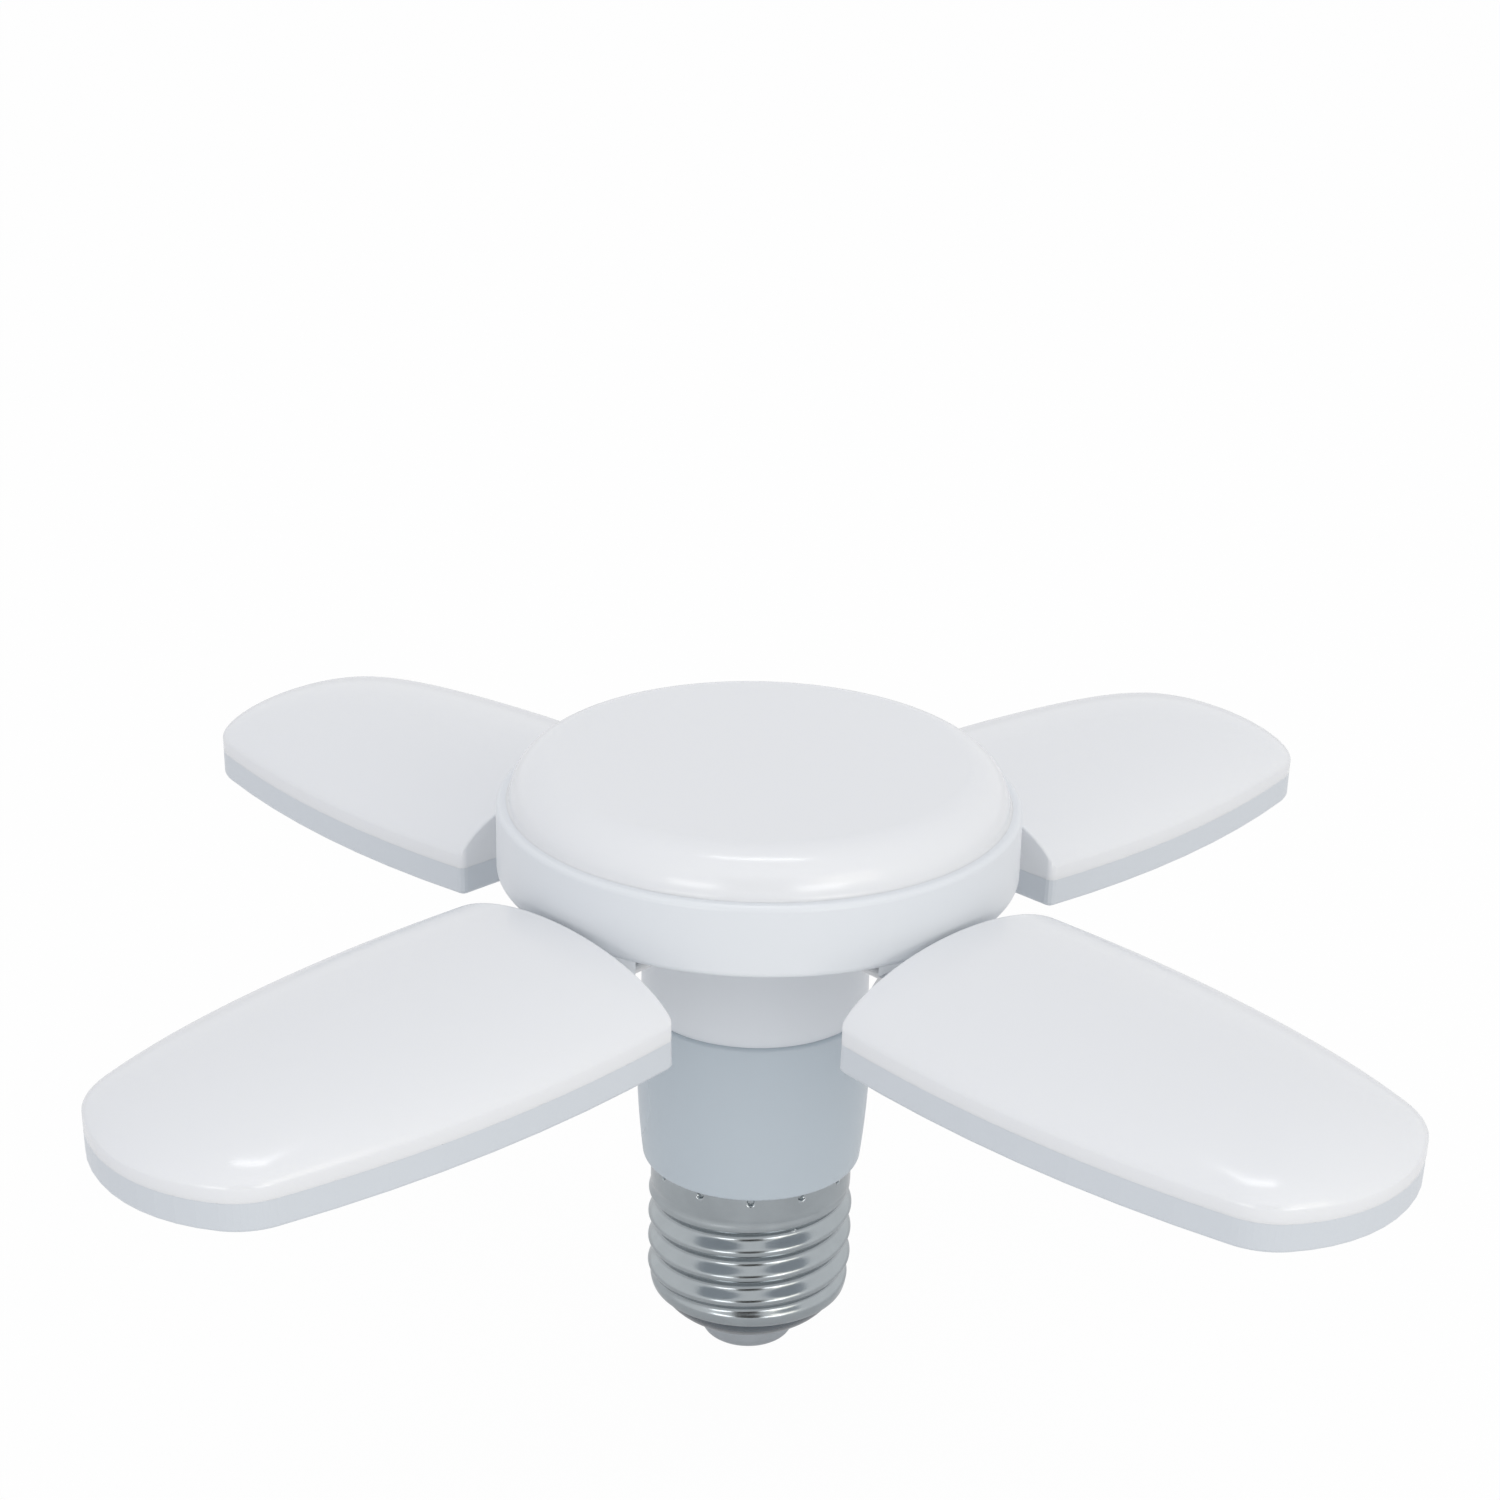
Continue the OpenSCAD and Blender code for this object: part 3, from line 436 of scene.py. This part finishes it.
def milky_plastic():
    """Milky diffuser: evenly pale, slightly bluish, with a soft sheen."""
    made, nodes, links, shader = base_material("milky_plastic")
    patches = noise(nodes, links, MILKY_PATCHES, 0)
    tone = ramp(nodes, links, patches, [(0.2, MILKY), (0.8, tinted(MILKY, MILKY_TINT))])
    links.new(tone, shader.inputs["Base Color"])
    links.new(spread(nodes, links, patches, *MILKY_ROUGH), shader.inputs["Roughness"])
    shader.inputs["Subsurface Weight"].default_value = MILKY_SOFT
    shader.inputs["Subsurface Radius"].default_value = MILKY_REACH
    shader.inputs["Subsurface Scale"].default_value = 1.0
    return made


MARKS = 400             # handling marks in a metre of metal
MARK_TINT = 0.05
MARK_DEPTH = 0.000002
MARK_STRENGTH = 0.1


def metal(name, colour, rough):
    """Plated metal with faint handling marks in its gloss."""
    made, nodes, links, shader = base_material(name)
    marks = noise(nodes, links, MARKS, 2)
    stops = [(0.35, tinted(colour, 1 - MARK_TINT)), (0.65, colour)]
    links.new(ramp(nodes, links, marks, stops), shader.inputs["Base Color"])
    links.new(spread(nodes, links, marks, rough * 0.8, rough * 1.2), shader.inputs["Roughness"])
    shader.inputs["Metallic"].default_value = 1
    bump(nodes, links, shader, marks, MARK_DEPTH, MARK_STRENGTH)
    return made


MATERIALS = {
    "milky_plastic": milky_plastic(),
    "white_plastic": plastic("white_plastic", (0.75, 0.785, 0.82), 0.3, 0.01),
    # a darker copy of the white plastic for the wing backs: painted shade for their shaded bands
    "painted_shade_back_plastic": plastic("painted_shade_back_plastic", (0.625, 0.668, 0.712), 0.3, 0.01),
    "neck_plastic": plastic("neck_plastic", (0.515, 0.583, 0.635), 0.27, 0.008),
    "shell_metal": metal("shell_metal", (0.395, 0.43, 0.45), 0.2),
    "contact_metal": metal("contact_metal", (0.45, 0.48, 0.51), 0.35),
    "insulator": plastic("insulator", (0.055, 0.075, 0.095), 0.2, 0.08),
    "steel": metal("steel", (0.62, 0.63, 0.65), 0.28),
    "light_board": plastic("light_board", (0.84, 0.84, 0.83), 0.4, 0.02),
    "emitter": plastic("emitter", (0.85, 0.7, 0.3), 0.35, 0.1),
    "circuit_board": plastic("circuit_board", (0.05, 0.25, 0.12), 0.3, 0.15),
    "capacitor_can": plastic("capacitor_can", (0.06, 0.07, 0.09), 0.25, 0.1),
    "film_box": plastic("film_box", (0.6, 0.35, 0.08), 0.3, 0.1),
    "ferrite": plastic("ferrite", (0.08, 0.08, 0.09), 0.6, 0.2),
    "chip_body": plastic("chip_body", (0.03, 0.03, 0.035), 0.45, 0.2),
    "resistor_body": plastic("resistor_body", (0.45, 0.42, 0.33), 0.5, 0.1),
    "lead_cover": plastic("lead_cover", (0.75, 0.76, 0.77), 0.4, 0.05),
}


def dress(obj, slot_name):
    """Gives obj the material of a slot in place of whatever it had."""
    obj.data.materials.clear()
    obj.data.materials.append(MATERIALS[slot_name])


# ---------------------------------------------------------------- mesh tools

def new_piece(name, verts, faces, slot_name):
    """A smooth mesh object from points in millimetres."""
    mesh = bpy.data.meshes.new(name)
    mesh.from_pydata([Vector(v) * MM for v in verts], [], faces)
    mesh.validate()
    obj = bpy.data.objects.new(name, mesh)
    bpy.context.scene.collection.objects.link(obj)
    work = bmesh.new()
    work.from_mesh(mesh)
    bmesh.ops.recalc_face_normals(work, faces=work.faces)
    work.to_mesh(mesh)
    work.free()
    mesh.polygons.foreach_set("use_smooth", [True] * len(mesh.polygons))
    dress(obj, slot_name)
    return obj


def sharpen(obj, degrees):
    """Keeps edges sharper than the angle crisp on a smooth mesh."""
    limit = math.radians(degrees)
    work = bmesh.new()
    work.from_mesh(obj.data)
    for edge in work.edges:
        if len(edge.link_faces) == 2 and edge.calc_face_angle() > limit:
            edge.smooth = False
    work.to_mesh(obj.data)
    work.free()


def ring_faces(rings, count, closed_ends=True):
    """Quads between rings of count points, with a fan at each end around an added point."""
    faces = []
    for k in range(rings - 1):
        for i in range(count):
            j = (i + 1) % count
            faces.append((k * count + i, k * count + j, (k + 1) * count + j, (k + 1) * count + i))
    if closed_ends:
        first, last = rings * count, rings * count + 1
        for i in range(count):
            j = (i + 1) % count
            faces.append((first, j, i))
            faces.append((last, (rings - 1) * count + i, (rings - 1) * count + j))
    return faces


def lathe(name, profile, slot_name, steps):
    """A turned body from a closed profile of (radius, height) in millimetres."""
    verts, faces = [], []
    n = len(profile)
    for s in range(steps):
        a = 2 * math.pi * s / steps
        for r, z in profile:
            verts.append((r * math.cos(a), r * math.sin(a), z))
    for s in range(steps):
        t = (s + 1) % steps
        for i in range(n):
            j = (i + 1) % n
            faces.append((s * n + i, t * n + i, t * n + j, s * n + j))
    obj = new_piece(name, verts, faces, slot_name)
    work = bmesh.new()
    work.from_mesh(obj.data)
    bmesh.ops.remove_doubles(work, verts=work.verts, dist=1e-6)
    bmesh.ops.dissolve_degenerate(work, edges=work.edges, dist=1e-7)
    bmesh.ops.recalc_face_normals(work, faces=work.faces)
    work.to_mesh(obj.data)
    work.free()
    obj.data.polygons.foreach_set("use_smooth", [True] * len(obj.data.polygons))
    return obj


def arc(x, y, r, start, end, steps):
    """Points of an arc in degrees, both ends included."""
    return [(x + r * math.cos(math.radians(start + (end - start) * i / steps)),
             y + r * math.sin(math.radians(start + (end - start) * i / steps)))
            for i in range(steps + 1)]


def mix(a, b, f):
    """The number at share f of the way from a to b."""
    return a + (b - a) * f


def curve_point(start, pull, end, f):
    """A point at share f of the curve from start to end that pull bends."""
    return tuple(mix(mix(a, b, f), mix(b, c, f), f) for a, b, c in zip(start, pull, end))


def smooth(x):
    """A soft step from 0 to 1 as x goes from 0 to 1."""
    t = min(1, max(0, x))
    return t * t * (3 - 2 * t)


# ---------------------------------------------------------------- wings

BOW_X = WING_R0 + WIDEST
BOW_Y = WING_W / 2 - SIDE_BOW
TIP_X = WING_R1 - TIP_BOW


def corner_centre():
    """Centre of the corner's arc, which meets the bowed side and the blunt tip smoothly."""
    apart = math.hypot(TIP_X - BOW_X, BOW_Y)
    dx, dy = (TIP_X - BOW_X) / apart, -BOW_Y / apart
    to_side, to_tip = SIDE_BOW - CORNER_R, TIP_BOW - CORNER_R
    along = (to_side * to_side - to_tip * to_tip + apart * apart) / (2 * apart)
    aside = math.sqrt(to_side * to_side - along * along)
    return BOW_X + along * dx + aside * dy, BOW_Y + along * dy - aside * dx


CORNER_X, CORNER_Y = corner_centre()
BOW_END = math.degrees(math.atan2(CORNER_Y - BOW_Y, CORNER_X - BOW_X))
CORNER_END = math.degrees(math.atan2(CORNER_Y, CORNER_X - TIP_X))


def wing_outline(inset):
    """The wing's outline, drawn in by inset, as a closed ring of points."""
    r = max(END_CORNER - inset, 0.1)
    x = WING_R0 + inset + r
    y = BOW_Y + math.sqrt((SIDE_BOW - inset - r) ** 2 - (x - BOW_X) ** 2)
    start = math.degrees(math.atan2(y - BOW_Y, x - BOW_X))
    half = arc(x, y, r, 180, start, END_CORNER_STEPS)
    half += arc(BOW_X, BOW_Y, SIDE_BOW - inset, start, BOW_END, SIDE_STEPS)[1:]
    half += arc(CORNER_X, CORNER_Y, CORNER_R - inset, BOW_END, CORNER_END, CORNER_STEPS)[1:]
    half += arc(TIP_X, 0, TIP_BOW - inset, CORNER_END, 0, TIP_STEPS)[1:]
    ring = half + [(x, -y) for x, y in half[-2::-1]]
    width = half[0][1]
    for i in range(1, END_STEPS + 1):
        ring.append((WING_R0 + inset, -width * math.cos(math.pi * i / (END_STEPS + 1))))
    return ring


def half_width(x, inset):
    """Half the wing's width at distance x."""
    bow_r, corner_r, tip_r = SIDE_BOW - inset, CORNER_R - inset, TIP_BOW - inset
    if x < BOW_X + bow_r * math.cos(math.radians(BOW_END)):
        return BOW_Y + math.sqrt(bow_r ** 2 - (x - BOW_X) ** 2)
    if x < CORNER_X + corner_r * math.cos(math.radians(CORNER_END)):
        return CORNER_Y + math.sqrt(max(0, corner_r ** 2 - (x - CORNER_X) ** 2))
    return math.sqrt(max(0, tip_r ** 2 - (x - TIP_X) ** 2))


def crown(x, y, inset):
    """Share of the crown's full rise."""
    w = half_width(x, inset)
    u = min(1, abs(y) / w) if w > 0 else 1
    v = min(1, max(0, (x - WING_R0 - inset) / (WING_LEN - 2 * inset)))
    return (1 - u * u) ** CROWN_POWER * (1 - v ** TIP_ORDER) ** TIP_POWER


def crown_ring(inset, share, z, rise, rounding):
    """The outline shrunk by share towards the wing's middle, laid on the crown."""
    ring = []
    for px, py in wing_outline(inset):
        x = WING_MID + share * (px - WING_MID)
        y = share * py
        edge = min(1, (x - WING_R0 - inset) / rounding) if rounding else 1
        drop = rounding * (1 - math.sqrt(max(0, 1 - (1 - edge) ** 2))) if rounding else 0
        height = rise * crown(x, y, inset)
        ring.append((x, y, z + max(height * CROWN_LEAST, height - drop)))
    return ring


OUTER_SHARES = (0.06, 0.16, 0.28, 0.4, 0.52, 0.62, 0.7, 0.77, 0.83, 0.875, 0.91, 0.935, 0.955,
                0.97, 0.98, 0.987, 0.992, 0.9955, 0.998, 0.9993, 1.0)
INNER_SHARES = (1, 0.98, 0.94, 0.87, 0.75, 0.6, 0.4, 0.2)


def diffuser_rings():
    """Rings of the milky cover from its middle out, down its side and back inside."""
    lip = BACK_WALL + FIT
    side = (
        (0, SEAM_Z + 0.3),
        (0, SEAM_Z + 0.01),
        (0.02, SEAM_Z),
        (lip, SEAM_Z),
        (lip, SEAM_Z - LIP_H),
        (lip + LIP_T, SEAM_Z - LIP_H),
        (lip + LIP_T, SEAM_Z + 0.2),
        (DIFFUSER_WALL, SEAM_Z + 0.6),
    )
    rings = [crown_ring(0, share, SIDE_Z, CROWN_H, END_ROUND) for share in OUTER_SHARES]
    for inset, z in side:
        rings.append([(x, y, z) for x, y in wing_outline(inset)])
    for share in INNER_SHARES:
        rings.append(crown_ring(DIFFUSER_WALL, share, SIDE_Z - INNER_DROP, INNER_CROWN_H, 0))
    return rings


def place_wing(obj, k):
    """Turns a mesh made along +X, in millimetres times MM, to wing k and droops it."""
    pivot = Vector((HINGE_R, 0, HINGE_Z)) * MM
    droop = (Matrix.Translation(pivot) @ Matrix.Rotation(math.radians(DROOP), 4, "Y")
             @ Matrix.Translation(-pivot))
    obj.data.transform(Matrix.Rotation(math.radians(90 * (k - 1)), 4, "Z") @ droop)


def make_diffuser(k):
    """The milky cover of wing k, with its crown, its rounded edges and its lip."""
    rings = diffuser_rings()
    count = len(rings[0])
    verts = [p for ring in rings for p in ring]
    top = SIDE_Z + CROWN_H * crown(WING_MID, 0, 0)
    under = SIDE_Z - INNER_DROP + INNER_CROWN_H * crown(WING_MID, 0, DIFFUSER_WALL)
    verts += [(WING_MID, 0, top), (WING_MID, 0, under)]
    obj = new_piece(f"wing_diffuser_{k}_cover", verts, ring_faces(len(rings), count),
                    "milky_plastic")
    sharpen(obj, 50)
    place_wing(obj, k)
    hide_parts(f"wing_diffuser_{k}")
    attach(obj, f"wing_{k}")


# ---------------------------------------------------------------- disc light, neck and cap

def make_dome():
    """The disc light's cover: a rounded shoulder on a hollow fillet, and a faint crown."""
    flat = DOME_R - DOME_SHOULDER
    outer = arc(flat, RIM_Z1, DOME_SHOULDER, 0, 90, 24)
    top = RIM_Z1 + DOME_SHOULDER + DOME_CROWN
    crown_line = [(flat * (1 - i / 10), outer[-1][1] + DOME_CROWN * (1 - (1 - i / 10) ** 2))
                  for i in range(1, 10)]
    inner = arc(flat, RIM_Z1, DOME_SHOULDER - DOME_WALL, 90, 0, 16)
    foot = arc(DOME_R + DOME_SKIRT, SEAT_Z + DOME_SKIRT, DOME_SKIRT, 270, 180, 5)
    foot = [(DOME_R, SEAT_Z)] + [p for p in foot if p[0] > DOME_R + 0.02]
    outer = [p for p in outer if p[1] > RIM_Z1 + DOME_SKIRT]
    profile = ([(DOME_R - DOME_WALL, DISC_Z1), (DOME_R, DISC_Z1)] + foot + outer + crown_line
               + [(0, top), (0, top - DOME_WALL)] + inner)
    obj = lathe("disc_diffuser_cover", profile, "milky_plastic", DOME_STEPS)
    sharpen(obj, 50)
    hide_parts("disc_diffuser")
    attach(obj, "lamp")


def thread_r(angle, z):
    """Outer radius of the thread, which fades into the foot below and the collar above."""
    wave = 0.5 + 0.5 * math.cos(
        math.radians(360 * (z - THREAD_Z) / THREAD_PITCH - (angle - THREAD_PHASE)))
    thread = THREAD_R - THREAD_DEPTH + THREAD_DEPTH * wave
    rise = min(1, (z - SHELL_Z0) / FOOT_H)
    low = mix(FOOT_R, FOOT_BULGE, math.sqrt(1 - (1 - rise) ** 2))
    high = COLLAR_R - 0.05
    low = mix(low, thread, smooth((z - FOOT_FADE_Z) / FOOT_FADE_H))
    return mix(high, low, smooth((COLLAR_Z0 - z) / COLLAR_FADE_H))


def dent(angle, z, at_angle, at_z, radius):
    """How deep a point of the shell lies in a dent, from 0 outside it to 1 in its middle."""
    across = math.radians((angle - at_angle + 180) % 360 - 180) * COLLAR_R
    away = math.hypot(across, z - at_z) / radius
    return (1 - away * away) ** 2 if away < 1 else 0


def shell_r(angle, z):
    """Outer radius of the rolled shell with its punch marks and its solder hole."""
    r = thread_r(angle, z) if z < COLLAR_Z0 else COLLAR_R
    if z > PUNCH_Z - PUNCH_R:
        step = 360 / PUNCH_COUNT
        nearest = PUNCH_ANGLE + step * round((angle - PUNCH_ANGLE) / step)
        r -= PUNCH_DEPTH * dent(angle, z, nearest, PUNCH_Z, PUNCH_R)
    if abs(z - HOLE_Z) < HOLE_R:
        r -= HOLE_DEPTH * dent(angle, z, HOLE_ANGLE, HOLE_Z, HOLE_R)
    return r


def make_shell():
    """The rolled shell: rings up its outside, over its upper edge and down its bore."""
    steps = SHELL_STEPS
    bore = (
        (COLLAR_R - SHELL_EDGE, CAP_Z1),
        (COLLAR_BORE + SHELL_EDGE / 2, CAP_Z1),
        (COLLAR_BORE, CAP_Z1 - SHELL_EDGE),
        (COLLAR_BORE, COLLAR_Z0 + 0.5),
        (SHELL_BORE, COLLAR_Z0 + 0.2),
        (SHELL_BORE, SHELL_Z0 + 0.15),
        (SHELL_BORE + 0.15, SHELL_Z0),
    )
    heights = [mix(SHELL_Z0, COLLAR_Z0, i / THREAD_LEVELS) for i in range(THREAD_LEVELS)]
    heights += [mix(COLLAR_Z0, CAP_Z1 - SHELL_EDGE, i / COLLAR_LEVELS)
                for i in range(COLLAR_LEVELS + 1)]
    rings = [[(shell_r(360 * s / steps, z), z) for s in range(steps)] for z in heights]
    rings += [[place] * steps for place in bore]
    verts = []
    for ring in rings:
        for s, (r, z) in enumerate(ring):
            a = 2 * math.pi * s / steps
            verts.append((r * math.cos(a), r * math.sin(a), z))
    last = (len(rings) - 1) * steps
    faces = ring_faces(len(rings), steps, closed_ends=False)
    for i in range(steps):
        j = (i + 1) % steps
        faces.append((last + i, last + j, j, i))
    obj = new_piece("screw_shell_rolled", verts, faces, "shell_metal")
    sharpen(obj, 60)
    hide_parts("screw_shell")
    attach(obj, "lamp")


def make_contact():
    """The centre contact: a cup with a rounded bottom, and the eyelet of its lead."""
    turns = [math.radians(90 / CONTACT_BEND_STEPS * i) for i in range(CONTACT_BEND_STEPS + 1)]
    bend = [(CONTACT_R * mix(CONTACT_FLAT, 1, math.sin(turn)),
             CONTACT_H * 0.5 * (1 - math.cos(turn))) for turn in turns]
    cup_r, bore, floor = CONTACT_R - CONTACT_WALL, LEAD_R + FIT, CONTACT_FLOOR + 0.6
    profile = CONTACT_PIP + bend
    profile += [(CONTACT_R, CONTACT_H), (cup_r, CONTACT_H), (cup_r, CONTACT_FLOOR),
                (EYELET_R, CONTACT_FLOOR), (EYELET_R, EYELET_Z1), (bore, EYELET_Z1),
                (bore, floor), (0, floor)]
    obj = lathe("centre_contact_cup", profile, "contact_metal", CONTACT_STEPS)
    sharpen(obj, 50)
    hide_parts("centre_contact")
    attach(obj, "lamp")


def make_insulator():
    """The dark insulator, which swells from the contact out to the shell's lower edge."""
    nose, inner = CONTACT_R - CONTACT_WALL - FIT, EYELET_R + FIT
    start = (CONTACT_R + INSULATOR_GAP, CONTACT_H + INSULATOR_GAP)
    pull = (CONTACT_R + INSULATOR_PULL[0], CONTACT_H + INSULATOR_PULL[1])
    swell = [curve_point(start, pull, (INSULATOR_R, SHELL_Z0), i / INSULATOR_SWELL_STEPS)
             for i in range(INSULATOR_SWELL_STEPS + 1)]
    profile = [(inner, CONTACT_FLOOR), (nose, CONTACT_FLOOR), (nose, CONTACT_H),
               (start[0], CONTACT_H)] + swell
    flange_z = SHELL_Z0 + INSULATOR_FLANGE
    profile += [(SPIGOT_R, SHELL_Z0), (SPIGOT_R, flange_z),
                (SPIGOT_R - INSULATOR_FLANGE, flange_z), (SPIGOT_R - INSULATOR_WALL, SHELL_Z0),
                (inner, EYELET_Z1 - INSULATOR_SINK)]
    obj = lathe("cap_insulator_moulded", profile, "insulator", INSULATOR_STEPS)
    sharpen(obj, 50)
    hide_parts("cap_insulator")
    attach(obj, "lamp")


def add_box(verts, faces, low, high):
    """Adds a box with corners low and high to a list of points and faces."""
    n = len(verts)
    verts += [(x, y, z) for x in (low[0], high[0]) for y in (low[1], high[1])
              for z in (low[2], high[2])]
    for face in ((0, 1, 3, 2), (4, 6, 7, 5), (0, 4, 5, 1), (2, 3, 7, 6), (0, 2, 6, 4),
                 (1, 5, 7, 3)):
        faces.append(tuple(n + i for i in face))


def make_neck():
    """The lower neck with its spigot in the cap, and the ribs that hold the driver board."""
    foot_z = CAP_Z1 + NECK_ROUND
    foot = arc(NECK_FOOT_R, foot_z, NECK_ROUND, -90, 0, 6)
    foot += [(NECK_R - NECK_TAPER * (1 - i / TAPER_STEPS) ** 2,
              foot_z + NECK_TAPER_H * i / TAPER_STEPS) for i in range(1, TAPER_STEPS + 1)]
    edge = arc(NECK_R - NECK_EDGE, NECK_Z1 - NECK_EDGE, NECK_EDGE, 0, 90, 8)
    profile = [(SPIGOT_BORE, SPIGOT_Z0), (SPIGOT_R, SPIGOT_Z0),
               (SPIGOT_R, SPIGOT_STEP_Z0), (SPIGOT_COLLAR_R, SPIGOT_STEP_Z1),
               (SPIGOT_COLLAR_R, CAP_Z1)]
    profile += foot + edge
    profile += [(NECK_BORE, NECK_Z1), (NECK_BORE, CAP_Z1 + NECK_FLOOR),
                (SPIGOT_BORE, CAP_Z1 + NECK_FLOOR)]
    body = lathe("neck_housing_body", profile, "neck_plastic", NECK_STEPS)
    verts, faces = [], []
    for side in (-1, 1):
        for z0, z1, reach in ((SPIGOT_Z0, GUIDE_STEP_Z, SPIGOT_BORE + GUIDE_SINK),
                              (GUIDE_STEP_Z, GUIDE_Z1, NECK_BORE + GUIDE_SINK)):
            xs = sorted((side * GUIDE_R, side * reach))
            for y0, y1 in ((-GUIDE_HALF, -GROOVE_HALF), (GROOVE_HALF, GUIDE_HALF)):
                add_box(verts, faces, (xs[0], y0, z0), (xs[1], y1, z1))
    ribs = new_piece("neck_housing_ribs", verts, faces, "neck_plastic")
    for piece in (body, ribs):
        sharpen(piece, 40)
        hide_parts("neck_housing")
        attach(piece, "lamp")


# ---------------------------------------------------------------- wing leads

def tube(path, radii):
    """Points and faces of a closed tube along a path in the plane of a wing's middle."""
    verts = []
    for i, (x, y, z) in enumerate(path):
        ahead = path[min(i + 1, len(path) - 1)]
        behind = path[max(i - 1, 0)]
        slope = math.atan2(ahead[2] - behind[2], ahead[0] - behind[0])
        for s in range(TUBE_STEPS):
            a = 2 * math.pi * s / TUBE_STEPS
            up = radii[i] * math.sin(a)
            verts.append((x - up * math.sin(slope), y + radii[i] * math.cos(a),
                          z + up * math.cos(slope)))
    faces = ring_faces(len(path), TUBE_STEPS)
    return verts + [path[0], path[-1]], faces


def make_lead(k):
    """The two wires of a wing, which bend where they pass under the hinge."""
    covered = [(mix(LEAD_START[k], WIRE_X, i / LEAD_STEPS), WIRE_Z)
               for i in range(LEAD_STEPS + 1)]
    bend = arc(WIRE_X, WIRE_Z + WIRE_BEND, WIRE_BEND, -90, 0, 6)[1:]
    bare = [(WIRE_X, WIRE_Z)] + bend + [(bend[-1][0], BOARD_Z0)]
    radii = [LEAD_R] * len(covered) + [WIRE_R] * len(bare)
    verts, faces = [], []
    for side in (-1, 1):
        path = [(x, side * LEAD_T, z) for x, z in covered + bare]
        more_verts, more_faces = tube(path, radii)
        n = len(verts)
        verts += more_verts
        faces += [tuple(n + i for i in face) for face in more_faces]
    obj = new_piece(f"wing_lead_{k}_wires", verts, faces, "lead_cover")
    sharpen(obj, 50)
    place_wing(obj, k)
    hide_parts(f"wing_lead_{k}")
    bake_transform(obj)


# ---------------------------------------------------------------- build

make_camera()
make_world(strength=0.79, colour=(0.975, 0.975, 1))
make_floor(FLOOR_Z, half=3.0, seen_share=0.97, glossy_share=0.3)
# painted dark reflection on the cap's threads and the dome's shoulder, from a card that only
# glossy rays see
make_dark_reflection_card(studio_place(0, 18, 1.3), (0.66, 0.74))
make_lamp("right_box", studio_place(42, 20, 1.1), (0.5, 0.5), 1.2, (1, 0.92, 0.76))
make_lamp("top_box", studio_place(0, 83, 1.0), (0.42, 0.1), 0.88)
for name, side in (("low_left", -28), ("low_right", 28)):
    make_lamp(name, studio_place(side, 8, 1.15), (0.42, 0.28), 1.1, (1, 0.98, 0.96))

slots = {row["node"]: row["material_slot"] for row in frame["record"]["subparts"]}
for node_name, node in frame["nodes"].items():
    # the wing backs take the darker copy of the white plastic, which paints their shade
    dress(node, "painted_shade_back_plastic" if node_name.startswith("wing_back") else slots[node_name])

for wing in WINGS:
    make_diffuser(wing)
    make_lead(wing)
make_dome()
make_neck()
make_shell()
make_insulator()
make_contact()

bpy.context.scene.view_settings.view_transform = "Standard"
